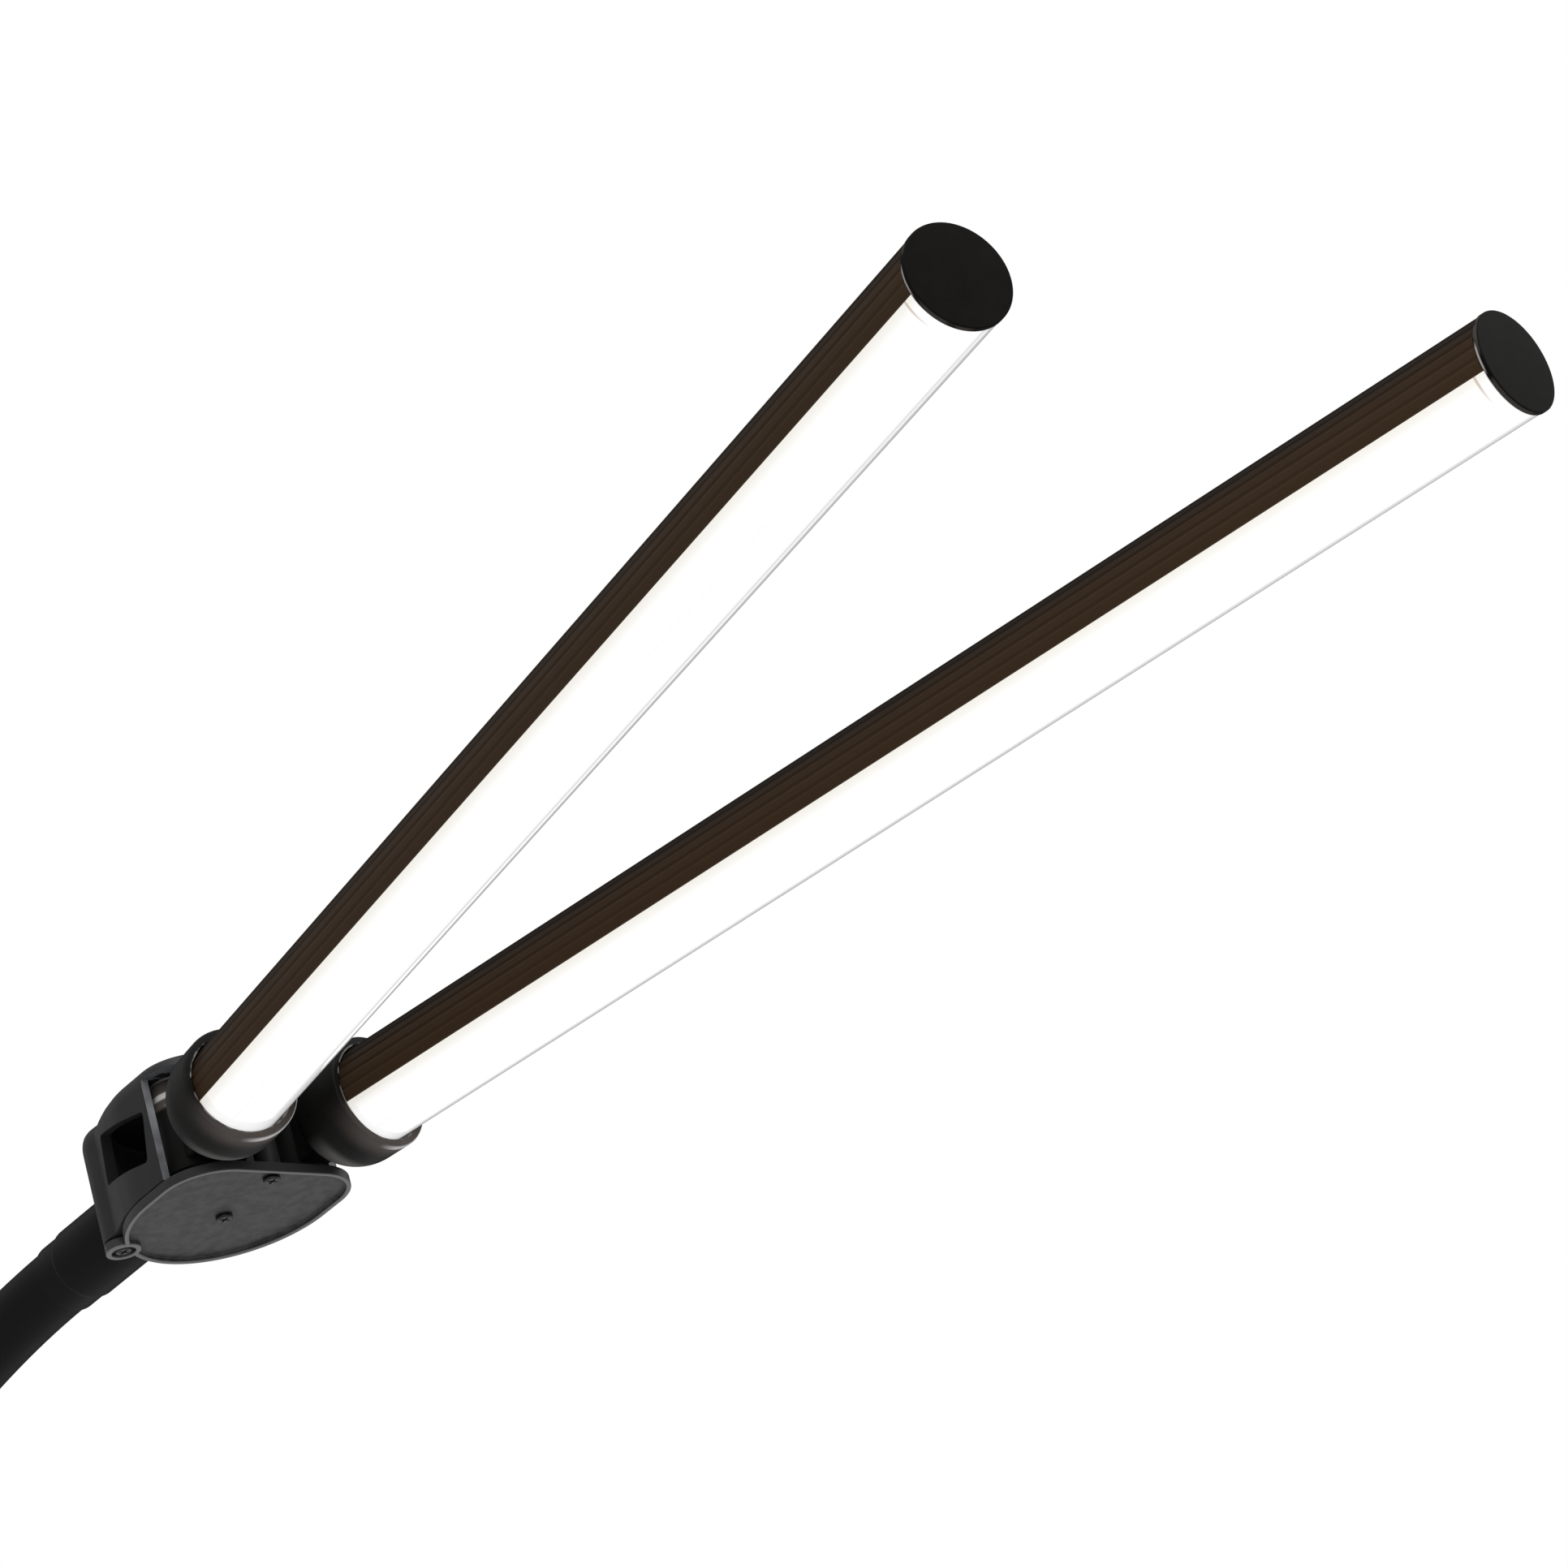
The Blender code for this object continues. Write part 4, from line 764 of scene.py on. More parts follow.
# Black-finished turned metal: satin, with a faint cloudiness
sleeve_black = mottled(
    "sleeve_black", (0.0040, 0.0040, 0.0041), (0.0065, 0.0065, 0.0066),
    shade=(0.008, 2.0), grain=(0.0005, 2.0), depth=0.000012, rough=(0.42, 0.12, 0), IOR=1.13,
)
lip_radius = neck_bore + LIP_WALL
sleeve_profile = rounded([
    (SPIGOT_BORE, sleeve_end, 0), (SPIGOT_RADIUS, sleeve_end, EASED), (SPIGOT_RADIUS, sleeve_length, 0),
    (sleeve_radius, sleeve_length, SOFT), (sleeve_radius, SLEEVE_LIP + LIP_STEP, LIP_STEP),
    (lip_radius, SLEEVE_LIP, LIP_STEP), (lip_radius, 0, CRISP), (neck_bore, 0, KEEN),
    (neck_bore, NECK_SLEEVE_DEPTH, 0), (SPIGOT_BORE, NECK_SLEEVE_DEPTH, 0),
], closed=True)
sleeve = turned("neck_end_sleeve", sleeve_profile, sleeve_black, sleeve_home)
mounted(sleeve, "head", "sleeve_black", "neck_sleeve")
dressed(dark_zinc, "neck_nut")


# Hinge block: one moulding of black glass-filled nylon, its top and side wall in one piece, open at
# the front for the two collars, where its cut edges are painted a pale bluish grey as a highlight.
# Bosses for the cover's screws and an ear column are moulded inside it.
block_black = mottled(
    "block_black", (0.0100, 0.0100, 0.0102), (0.0170, 0.0170, 0.0172), shade=(0.007, 3.0),
    grain=(0.00035, 3.0), depth=0.00003, rough=(0.44, 0.14, 1), Specular_IOR_Level=0.16,
)
# Painted highlight: the mouth's cut edges take this pale bluish grey
block_edge_highlight = mottled(
    "block_edge_highlight", (0.070, 0.073, 0.078), (0.170, 0.175, 0.185),
    shade=(0.003, 2.0), rough=(0.42, 0.1, 0), depth=0.00001, Specular_IOR_Level=0.25,
)
FAN = radians(9.114)
PIVOT_BACK = 0.0357
BLOCK_FRONT = 0.0193
BLOCK_REAR = 0.0777
BLOCK_WIDEST = 0.0434
BLOCK_CORNER = 0.0154
BLOCK_WALL = 0.0024
TOP_THICKNESS = 0.0032
TOP_ROUND = 0.0034
TOP_FALL = 0.006
VALLEY_SHARE = 0.5
VALLEY_START = 0.0002
SIDE_ROUND = 0.0002
WALL_FRONT = 0.0335
EAR_BACK = 0.0714
EAR_SIDE = 0.0190
EAR_RADIUS = 0.0049
WINDOW_BACK = 0.0497
WINDOW_RISE = 0.0045
WINDOW_LENGTH = 0.026
WINDOW_HEIGHT = 0.014
WINDOW_ROUND = 0.0012
WINDOW_TILT = radians(11.5)
REAR_BOSS = 0.0014
REAR_PAD = 0.0018
PIN_SOCKET = 0.0014
BOSS_RADIUS = 0.0034
OVERRUN = 0.002
EDGE_BREAK = 0.00025
head = shifted(pivots, PIVOT_BACK * cos(FAN), 0, 0)
block_low, block_high = span("hinge_block", head)
half_width = block_high[1]
bottom, top = block_low[2], block_high[2]
ceiling = top - TOP_THICKNESS


def block_plan(inset):
    """Plan of the block drawn in by an inset: a half ellipse behind, round corners in front.

    The corners are arcs of the corner radius less the inset, the rear is an ellipse whose half
    axes are less by it, and the other side is the mirror image.
    """
    angle = np.linspace(0, pi / 2, 20)
    radius = BLOCK_CORNER - inset
    corner_x = radius * np.cos(angle) - BLOCK_FRONT - BLOCK_CORNER
    corner_y = radius * np.sin(angle) + half_width - BLOCK_CORNER
    angle = np.linspace(0, pi / 2, 40)[1:]
    rear_x = -BLOCK_WIDEST - (BLOCK_REAR - BLOCK_WIDEST - inset) * np.sin(angle)
    rear_y = (half_width - inset) * np.cos(angle)
    half = np.column_stack([np.concatenate([corner_x, rear_x]), np.concatenate([corner_y, rear_y])])
    return np.concatenate([half, half[-2::-1] * (1, -1), half[:1]])


def rod(name, radius, low, high, look, home, edge=0.0, steps=64):
    """A round bar along its home's Z axis, its two edges rounded."""
    profile = rounded([(0, low, 0), (radius, low, edge), (radius, high, edge), (0, high, 0)])
    return turned(name, profile, look, home, steps)


def spaced(outline, count):
    """The same outline as that many points, evenly spaced along it."""
    length = travelled(outline)
    even = np.linspace(0, length[-1], count)
    return np.column_stack([np.interp(even, length, outline[:, axis]) for axis in (0, 1)])


WALL_POINTS = 3000
EAR_POINTS = 400
DIRECTIONS = 1440
BRIDGED_POINTS = 321


def bridged_plan(inset):
    """The block's plan with its ear column bridged to the wall, drawn in square to its edge.

    The points that reach furthest in each direction make up the bridged outline. It is shared out
    in even steps, and each point moves inwards along the normal there: by the inset, and by a part
    of its distance from wall and column, which leaves a soft valley between the two.
    """
    ear = circle(EAR_RADIUS, EAR_POINTS) - (EAR_BACK, EAR_SIDE)
    both = np.concatenate([spaced(block_plan(0), WALL_POINTS), ear])
    furthest = np.argmax(both @ circle(1, DIRECTIONS).T, axis=0)
    bridged = both[furthest[np.append(True, np.diff(furthest) != 0)]]
    outline = spaced(bridged, BRIDGED_POINTS)
    along = np.roll(outline[:-1], -1, axis=0) - np.roll(outline[:-1], 1, axis=0)
    normal = np.column_stack([along[:, 1], -along[:, 0]]) / np.linalg.norm(along, axis=1)[:, None]
    slack = np.linalg.norm(outline[:-1, None] - both, axis=-1).min(axis=1)
    valley = VALLEY_SHARE * np.maximum(slack - VALLEY_START, 0)
    drawn = outline[:-1] - normal * (inset + valley)[:, None]
    return np.concatenate([drawn, drawn[:1]])


def softened(piece, width):
    """Break the sharp edges of a finished piece with a narrow rounding."""
    step = piece.modifiers.new("softened", "BEVEL")
    step.width = width
    step.segments = 2
    step.limit_method = "ANGLE"
    step.angle_limit = radians(35)
    step.harden_normals = True


ear_home = shifted(head, -EAR_BACK, -EAR_SIDE, 0)
screw_nodes = ("cover_screw_front", "cover_screw_middle", "cover_screw_ear")
screw_spans = [span(name, head) for name in screw_nodes]
pin_spans = {side: span(side + "_pivot_pin", head) for side in ("left", "right")}


def upright(ends):
    """The head's home, moved to the middle between the low and high corners of a round piece."""
    return shifted(head, *((ends[0] + ends[1]) / 2)[:2], 0)


screw_homes = [upright(ends) for ends in screw_spans]
pin_homes = {side: upright(ends) for side, ends in pin_spans.items()}
pin_radius = (pin_spans["left"][1][1] - pin_spans["left"][0][1]) / 2
pin_hole = pin_radius + SCREW_CLEARANCE
turn = np.linspace(0, pi / 2, 12)
fall = top - TOP_FALL
shoulder = np.column_stack([TOP_ROUND * (1 - np.cos(turn)), fall + TOP_FALL * np.sin(turn)])
foot_and_side = rounded([(TOP_ROUND, bottom, 0), (0, bottom, SIDE_ROUND), (0, fall, 0)])
block_sides = np.concatenate([foot_and_side[:-1], shoulder])
hollow_sides = rounded([
    (BLOCK_WALL, bottom - OVERRUN, 0), (BLOCK_WALL, ceiling, FULL),
    (BLOCK_WALL + TOP_ROUND, ceiling, 0),
])
mouth = rectangle((-WALL_FRONT, -2 * half_width), (0, 2 * half_width))
block = stacked("hinge_block_moulding", bridged_plan, block_sides, block_black, head)
tilted_x = forward * cos(WINDOW_TILT) - up * sin(WINDOW_TILT)
tilted_z = forward * sin(WINDOW_TILT) + up * cos(WINDOW_TILT)
half = np.array([WINDOW_LENGTH, WINDOW_HEIGHT]) / 2
opening = rectangle(-half, half, WINDOW_ROUND)
windows = []
for side in (-1, 1):
    place = shifted(head, -WINDOW_BACK, side * half_width, WINDOW_RISE)[:3, 3]
    window_home = homed(place, tilted_x, tilted_z, -leftward)
    windows.append(extruded("window", opening, -half_width / 2, half_width / 2, block_black, window_home))
carved(
    block, "DIFFERENCE",
    stacked("hollow", block_plan, hollow_sides, block_black, head),
    extruded("mouth", mouth, bottom - OVERRUN, ceiling, block_edge_highlight, head),
    *windows,
)
boss_foot = sleeve_length + CLEARANCE
boss_top = boss_foot + REAR_BOSS + BLOCK_WALL + REAR_PAD
carved(
    block, "UNION",
    rod("rear_boss", sleeve_radius, boss_foot, boss_top, block_black, sleeve_home, EASED, 96),
    *[rod("boss", BOSS_RADIUS, bottom, ceiling + OVERRUN, block_black, home) for home in screw_homes[:2]],
)
thread_hole = SCREW_SHANK + SCREW_CLEARANCE
thread_end = screw_spans[0][1][2] + CLEARANCE


def thread_holes(low, look):
    """Cutters for the three cover screws' threads, from below the given height."""
    cutter = ("thread_hole", thread_hole, low - OVERRUN, thread_end, look)
    return [rod(*cutter, home, 0, 32) for home in screw_homes]


def pin_holes(low, high, look):
    """Cutters for the two pivot pins, from one height to another."""
    return [rod("pin_hole", pin_hole, low, high, look, home) for home in pin_homes.values()]


carved(
    block, "DIFFERENCE",
    rod("spigot_hole", SPIGOT_RADIUS + SCREW_CLEARANCE, 0, sleeve_end + OVERRUN, block_black, sleeve_home),
    *thread_holes(bottom, block_black),
    *pin_holes(ceiling - OVERRUN, ceiling + PIN_SOCKET, block_black),
)
softened(block, EDGE_BREAK)
mounted(block, "head", "block_black", "hinge_block")


# Pivot pins and friction washers: ground steel pins between the block's top and its cover, each
# with a washer of graphite-filled nylon above and below the collar's knuckle. The washers keep
# the bar where it is put.
def washer_nylon(place):
    """Nylon filled with graphite: dark grey, with soft flow marks."""
    flow = cloud(place, 0.002)
    return {
        "Base Color": tint(flow, (0.060, 0.060, 0.058), (0.085, 0.084, 0.081)),
        "Roughness": 0.42 + 0.12 * flow,
    }


nylon = finish("nylon", washer_nylon)
WASHER_EDGE = 0.0002
for side, home in pin_homes.items():
    low, high = pin_spans[side]
    pin = rod(side + "_hinge_pin", pin_radius, low[2], high[2], bright_steel, home, EASED, 48)
    mounted(pin, "head", "bright_steel", side + "_pivot_pin")
    for level in ("lower", "upper"):
        node = f"{side}_{level}_washer"
        low, high = span(node, head)
        section = tube_wall(pin_hole, (high[1] - low[1]) / 2, low[2], high[2], WASHER_EDGE)
        washer = turned(f"{side}_{level}_friction_washer", section, nylon, home, 64)
        mounted(washer, "head", "nylon", node)


# Cover plate: a zinc die casting under the block, finished satin grey, with a raised rim, a round
# ear and seats for the pins' lower ends. Three cross-head screws hold it.
def rise(place):
    """Height above the head's middle, along the pivots' axis."""
    ends = {0: place, 1: tuple(up)}
    height = place.node("VectorMath", {"operation": "DOT_PRODUCT"}, ends, "Value")
    return height - float(up @ head[:3, 3])


def own_map(place):
    """A skin's own map: the whole of it, then its u and its v."""
    run = place.node("UVMap", {"uv_map": "run"}, {}, "UV")
    return run, *[run.node("SeparateXYZ", {}, {"Vector": run}, axis) for axis in "XY"]


def satin_plate(place):
    """Blasted grey metal: a mottled field, a rim painted bright as a highlight, a near-black outer edge.

    The plate's own map has the distance from its outer edge in v.
    """
    mottle = cloud(place, 0.0032, 4.0)
    grain = cloud(place, 0.0004, 2.0)
    # Painted highlight: the rim's lowest faces are painted bright grey
    rim = 1 - ramp(rise(place), rim_low + 0.00025, rim_low + 0.00055)
    _, _, inset = own_map(place)
    side = 1 - ramp(inset, 0.00008, 0.00020)
    face = tint(ramp(mottle, 0.35, 0.65), (0.019, 0.019, 0.019), (0.037, 0.037, 0.036))
    grey = tint(side, tint(rim, face, (0.13, 0.13, 0.13)), (0.012, 0.012, 0.012))
    return raised(grey, 0.46 + 0.12 * grain, 0.5 * grain + 0.5 * mottle, 0.00007)


RIM_WIDTH = 0.0014
RIM_HEIGHT = 0.0014
RIM_ROUND = 0.00055
SEAT_WIDTH = 0.002
plate_low, plate_high = span("cover_plate", head)
rim_low = float(plate_low[2])
plate_grey = finish("plate_grey", satin_plate, Specular_IOR_Level=0.3)
field = rim_low + RIM_HEIGHT
plate_top = pin_spans["left"][0][2] - CLEARANCE
seat_top = plate_high[2]
plate_sides = rounded([
    (RIM_WIDTH, plate_top, 0), (0, plate_top, SIDE_ROUND), (0, rim_low, RIM_ROUND),
    (RIM_WIDTH, rim_low, RIM_ROUND), (RIM_WIDTH, field, FINE), (2 * RIM_WIDTH, field, 0),
])
seat_radius, seat_foot = pin_radius + SEAT_WIDTH, field + RIM_HEIGHT / 2
plate = stacked("cover_casting", block_plan, plate_sides, plate_grey, head)
carved(
    plate, "UNION",
    rod("plate_ear", EAR_RADIUS, rim_low, plate_top, plate_grey, ear_home, RIM_ROUND / 2, 96),
    *[rod("pin_seat", seat_radius, seat_foot, seat_top, plate_grey, home) for home in pin_homes.values()],
)
carved(
    plate, "DIFFERENCE",
    rod("ear_recess", EAR_RADIUS - RIM_WIDTH, rim_low - OVERRUN, field, plate_grey, ear_home, 0, 64),
    *pin_holes(plate_top, seat_top + OVERRUN, plate_grey),
    *thread_holes(rim_low, plate_grey),
)
mounted(plate, "head", "plate_grey", "cover_plate")
for node, home, (low, high) in zip(screw_nodes, screw_homes, screw_spans):
    seat = low[2] + SCREW_HEAD_HEIGHT
    screw(node + "_cross", home, seat, high[2] - seat, "head", node)


# Bars: each has a collar, a black grooved aluminium extrusion, an opal cover, a light board and an
# end cap, all in the bar's own home, whose Z axis runs along the bar from its pivot.
bars = {}
for side, pivot in (("left", left_pivot), ("right", right_pivot)):
    low, high = span(side + "_end_cap", head)
    direction = np.array(shifted(head, *(low + high) / 2)[:3, 3]) - pivot
    direction -= up * (direction @ up)
    direction /= np.linalg.norm(direction)
    bars[side] = homed(pivot, np.cross(up, direction), up, direction)


# Collars: each a cup that holds the bar's end, moulded of black nylon in one with the knuckle that
# turns on the pin. The cup's back is part of a ball, and a small hole lets the bar's wires through.
COLLAR_STRAIGHT = 0.009
CUP_DEPTH = 0.013
CUP_EDGE = 0.0005
KNUCKLE_RADIUS = 0.008
TONGUE_HALF_WIDTH = 0.005
TONGUE_DROP = 0.008
TONGUE_RISE = 0.006
WIRE_HOLE_RADIUS = 0.0015
WIRE_HOLE_RISE = 0.0085
STRAIGHT_DOWN = 1.5 * pi


def near(value, middle, full, gone):
    """1 up to the full distance from the middle, falling evenly to 0 where it is gone."""
    return 1 - ramp(value.maths("ABSOLUTE", value - middle), full, gone)


def band(value, start, full, fading, gone):
    """0 outside start and gone, 1 between full and fading, with even curves between them."""
    return ramp(value, start, full) * (1 - ramp(value, fading, gone))


def cup_moulding(place):
    """Black nylon, painted warm along the rim's lower side as light, with painted highlights on edges.

    The cup's own map has the distance along its profile in v: floor, bore, rim and outside. The
    brink highlight is a bright painted highlight on the lowest stretch of the rim's outer edge, the
    belly highlight a paler painted highlight behind it, and the inner edge a broken painted highlight.
    """
    grain = cloud(place, 0.00035, 3.0)
    wear = cloud(place, 0.004)
    _, angle, travel = own_map(place)
    # Painted highlight: the brink is a bright line on the rim's outer edge, on the far side
    flank = near(angle, STRAIGHT_DOWN + 0.7, 0.5, 0.95)
    brink_highlight = flank * near(travel, rim_end + 0.0003, 0.0005, 0.0011)
    # Painted highlight: the belly is a paler patch on the ball's lower side
    belly_highlight = band(travel, rim_end + 0.010, rim_end + 0.014, rim_end + 0.020, rim_end + 0.024)
    belly_highlight = belly_highlight * near(angle, STRAIGHT_DOWN - 0.2, 0.3, 0.9)
    # Painted light: the rim's lower side is painted warm, as if lit by the opal glow
    rim = band(travel, rim_start - 0.0012, rim_start, rim_end, rim_end + 0.007)
    painted_lit_rim = rim * near(angle, STRAIGHT_DOWN, 0.3, 1.5)
    # Painted highlight: the rim's inner edge is brightened in broken patches
    edge = near(travel, rim_start, 0.0001, 0.0004) * ramp(wear, 0.45, 0.6)
    black = tint(wear, (0.0050, 0.0047, 0.0044), (0.0085, 0.0080, 0.0076))
    painted_warm_light = tint(painted_lit_rim, black, (0.070, 0.060, 0.054))
    highlighted = tint(edge + 0.45 * belly_highlight, painted_warm_light, (0.18, 0.175, 0.17))
    return raised(tint(brink_highlight, highlighted, (0.50, 0.49, 0.48)), 0.42 + 0.14 * grain, grain, 0.00003)


collar_high = span("left_collar", bars["left"])[1]
collar_bore = span("left_bar_housing", bars["left"])[1][1] + CLEARANCE
rim_start = float(collar_bore + CUP_DEPTH)
rim_end = float(rim_start + collar_high[1] - collar_bore)
cup_black = finish("cup_black", cup_moulding, IOR=1.15)
for side, home in bars.items():
    low, high = span(side + "_collar", home)
    rim, outer = high[2], high[1]
    bore = span(side + "_bar_housing", home)[1][1] + CLEARANCE
    centre = rim - COLLAR_STRAIGHT
    knuckle_low = span(side + "_lower_washer", head)[1][2] + CLEARANCE
    knuckle_high = span(side + "_upper_washer", head)[0][2] - CLEARANCE
    turn = np.linspace(0, pi / 2, 24)[1:]
    dome = np.column_stack([outer * np.cos(turn), centre - outer * np.sin(turn)])
    dome[-1, 0] = 0
    cup = rounded([
        (0, rim - CUP_DEPTH, 0), (bore, rim - CUP_DEPTH, EASED), (bore, rim, FINE),
        (outer, rim, CUP_EDGE), (outer, centre, 0),
    ])
    collar = turned(side + "_collar_moulding", np.concatenate([cup, dome]), cup_black, home, 128)
    tongue = rectangle((-TONGUE_HALF_WIDTH, -TONGUE_DROP), (TONGUE_HALF_WIDTH, TONGUE_RISE), BLUNT)
    pin_home = pin_homes[side]
    wire_home = shifted(home, 0, WIRE_HOLE_RISE, 0)
    carved(
        collar, "UNION",
        extruded("tongue", tongue, 0, centre - TONGUE_HALF_WIDTH, cup_black, home),
        rod("knuckle", KNUCKLE_RADIUS, knuckle_low, knuckle_high, cup_black, pin_home, CUP_EDGE),
    )
    carved(
        collar, "DIFFERENCE",
        rod("knuckle_bore", pin_hole, bottom - OVERRUN, top + OVERRUN, cup_black, pin_home),
        rod("wire_hole", WIRE_HOLE_RADIUS, KNUCKLE_RADIUS + OVERRUN, rim, cup_black, wire_home, 0, 24),
    )
    mounted(collar, side + "_bar", "block_black", side + "_collar")


# Bar housings: the upper part of each bar, an aluminium extrusion with fifteen fine grooves, brushed
# lengthwise and anodised black. A shelf across it carries the light board.
HOUSING_WALL = 0.0016
LIGHT_ANGLE = radians(71)
GROOVE_FIELDS = 16
FIELD_STEPS = 16
GROOVE_DEPTH = 0.0003
SHELF_DROP = 0.0018
SHELF_THICKNESS = 0.0014
BRUSHING = (12, 2600, 0)  # strokes to the metre, along the bar and round it


def hanging(angle, radius):
    """Points on a circle, by their angle from straight down."""
    return np.column_stack([radius * np.sin(angle), -radius * np.cos(angle)])


def anodising(place):
    """Black anodising over fine lengthwise brushing, with painted warm light towards its edges.

    The skin's own map runs along the bar in u and round it in v, both in metres.
    """
    run, _, around = own_map(place)
    edge = around.maths("MINIMUM", around, housing_arc - around)
    drawn = run.node("VectorMath", {"operation": "MULTIPLY"}, {0: run, 1: BRUSHING}, "Vector")
    brushing = run.node("TexNoise", {}, {"Vector": drawn, "Scale": 1.0, "Detail": 3.0})
    haze = cloud(place, 0.012)
    # Painted light: the base colour turns warm brown near the edges, standing in for the opal glow
    painted_warm_light = 1 - ramp(edge, 0.001, 0.017)
    black = tint(painted_warm_light, (0.0058, 0.0044, 0.0034), (0.0360, 0.0215, 0.0120))
    return raised(black, 0.40 + 0.12 * brushing + 0.06 * haze, brushing, 0.000012)


housing_spans = {side: span(side + "_bar_housing", home) for side, home in bars.items()}
bar_radius = housing_spans["left"][1][1]
bar_start = housing_spans["left"][0][2]
bar_end = housing_spans["left"][1][2]
hollow_radius = bar_radius - HOUSING_WALL
half_seam = CLEARANCE / (2 * bar_radius)
housing_edge = LIGHT_ANGLE + half_seam
outside = np.linspace(housing_edge, 2 * pi - housing_edge, FIELD_STEPS * GROOVE_FIELDS + 1)
field_width = (outside[-1] - outside[0]) / GROOVE_FIELDS
housing_arc = bar_radius * (outside[-1] - outside[0])
housing_black = finish("housing_black", anodising, IOR=1.10)
place_in_field = (outside - outside[0]) / field_width
from_groove = np.abs(place_in_field - np.clip(np.round(place_in_field), 1, GROOVE_FIELDS - 1))
groove = GROOVE_DEPTH * np.cos(pi / 2 * np.clip(4 * from_groove, 0, 1)) ** 2
shelf_bottom = -SHELF_DROP - SHELF_THICKNESS
foot = hollow_radius * np.sin(np.arccos(-shelf_bottom / hollow_radius))
lip = hanging(np.array([-housing_edge, housing_edge]), hollow_radius)
shelf_edge = foot - HOUSING_WALL
shelf = [(-shelf_edge, shelf_bottom), (shelf_edge, shelf_bottom)]
grooved, start = hanging(outside, bar_radius - groove), hanging(outside[:1], bar_radius)
housing_outline = np.concatenate([grooved, lip[:1], shelf, lip[1:], start])


def above_shelf(radius, drop):
    """Closed outline of the part of a circle above a line that lies a drop below its middle."""
    start = np.arcsin(-drop / radius)
    angle = np.linspace(start, pi - start, 40)
    arc = radius * np.column_stack([np.cos(angle), np.sin(angle)])
    return np.concatenate([arc, arc[:1]])


hollow = above_shelf(hollow_radius, SHELF_DROP)
for side, home in bars.items():
    housing = extruded(side + "_bar_extrusion", housing_outline, bar_start, bar_end, housing_black, home)
    inside = extruded("hollow", hollow, bar_start - OVERRUN, bar_end + OVERRUN, housing_black, home)
    carved(housing, "DIFFERENCE", inside)
    mounted(housing, side + "_bar", "housing_black", side + "_bar_housing")


# Light boards: white lacquered aluminium strips under the shelves, each with a row of light chips.
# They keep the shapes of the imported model, and the chips are told from the board by their depth.
BOARD_THICKNESS = 0.0012
PAINT_EDGE = 0.0001
board_bottom = float(span("left_light_board", head)[1][2]) - BOARD_THICKNESS


def white_board(place):
    """White lacquer, and the yellow gel of the chips below it."""
    gel = ramp(rise(place), board_bottom, board_bottom - PAINT_EDGE)
    return {
        "Base Color": tint(gel, (0.75, 0.62, 0.22), (0.72, 0.72, 0.70)),
        "Roughness": 0.42 + 0.1 * cloud(place, 0.004),
    }


board_white = finish("board_white", white_board)
dressed(board_white, "left_light_board", "right_light_board")


# Diffusers: extruded opal acrylic shells snapped into the housings' edges. They glow evenly, a
# little warmer at the seams, and a faint ring shows where the end cap's plug stops.
DIFFUSER_WALL = 0.0014
RING_BEFORE_CAP = 0.0029


def glowing(place):
    """Lit opal acrylic: an even white glow under a clear gloss, warmer along the two seams."""
    _, along, around = own_map(place)
    edge = around.maths("MINIMUM", around, diffuser_arc - around)
    seam = 1 - ramp(edge, 0.0, 0.005)
    ring = near(along, bar_end - RING_BEFORE_CAP, 0.0001, 0.0006) * (1 - ramp(edge, 0.001, 0.011))
    glow = tint(seam, (0.96, 0.96, 0.96), (0.78, 0.757, 0.71))
    return {
        "Base Color": tint(seam, (0.28, 0.28, 0.28), (0.27, 0.26, 0.24)),
        "Emission Color": tint(ring, glow, (0.42, 0.30, 0.24)),
    }


diffuser_edge = LIGHT_ANGLE - half_seam
under = np.linspace(-diffuser_edge, diffuser_edge, 64)
diffuser_arc = 2 * diffuser_edge * bar_radius
opal = finish(
    "opal", glowing, Emission_Strength=0.9, Roughness=0.45, Specular_IOR_Level=0.0,
    Coat_Weight=1.0, Coat_Roughness=0.05, Coat_IOR=1.8,
)
outer_side, inner_side = hanging(under, bar_radius), hanging(under[::-1], bar_radius - DIFFUSER_WALL)
diffuser_outline = np.concatenate([outer_side, inner_side, outer_side[:1]])
for side, home in bars.items():
    diffuser = extruded(side + "_opal_shell", diffuser_outline, bar_start, bar_end, opal, home)
    mounted(diffuser, side + "_bar", "opal", side + "_diffuser")


# End caps: discs moulded of black plastic. Each is held by a half-round plug on its back, pressed
# into the bar's end above the shelf.
LIT_ABOVE_SEAM = 0.22


def cap_moulding(place):
    """Black moulded plastic with a very fine grain, and painted highlights on its edge in places.

    The cap's own map has the distance along its profile in v: back, edge and front. The edge also
    has a bright painted highlight for the glowing shell's light on both sides, a little above the seams.
    """
    grain = cloud(place, 0.0004, 3.0)
    shade = cloud(place, 0.006)
    _, angle, travel = own_map(place)
    edge = band(travel, cap_radius - 0.0004, cap_radius, cap_radius + 0.0010, cap_radius + 0.0014)
    from_down = angle.maths("ABSOLUTE", angle - STRAIGHT_DOWN)
    from_down = from_down.maths("MINIMUM", from_down, 2 * pi - from_down)
    # Painted highlight: a bright stretch of edge beside the shell on both sides, above the seams
    beside_shell = near(from_down, LIGHT_ANGLE + LIT_ABOVE_SEAM, 0.15, 0.35)
    painted_shell_light = beside_shell * near(travel, cap_radius, 0.0003, 0.0007)
    black = tint(shade, (0.0030, 0.0029, 0.0026), (0.0065, 0.0058, 0.0053))
    # Painted highlight: the edge is brightened in patches
    edge_highlight = tint(edge * ramp(cloud(place, 0.009), 0.45, 0.6), black, (0.040, 0.036, 0.033))
    return raised(tint(painted_shell_light, edge_highlight, (0.30, 0.29, 0.28)), 0.46 + 0.14 * grain, grain, 0.00002)


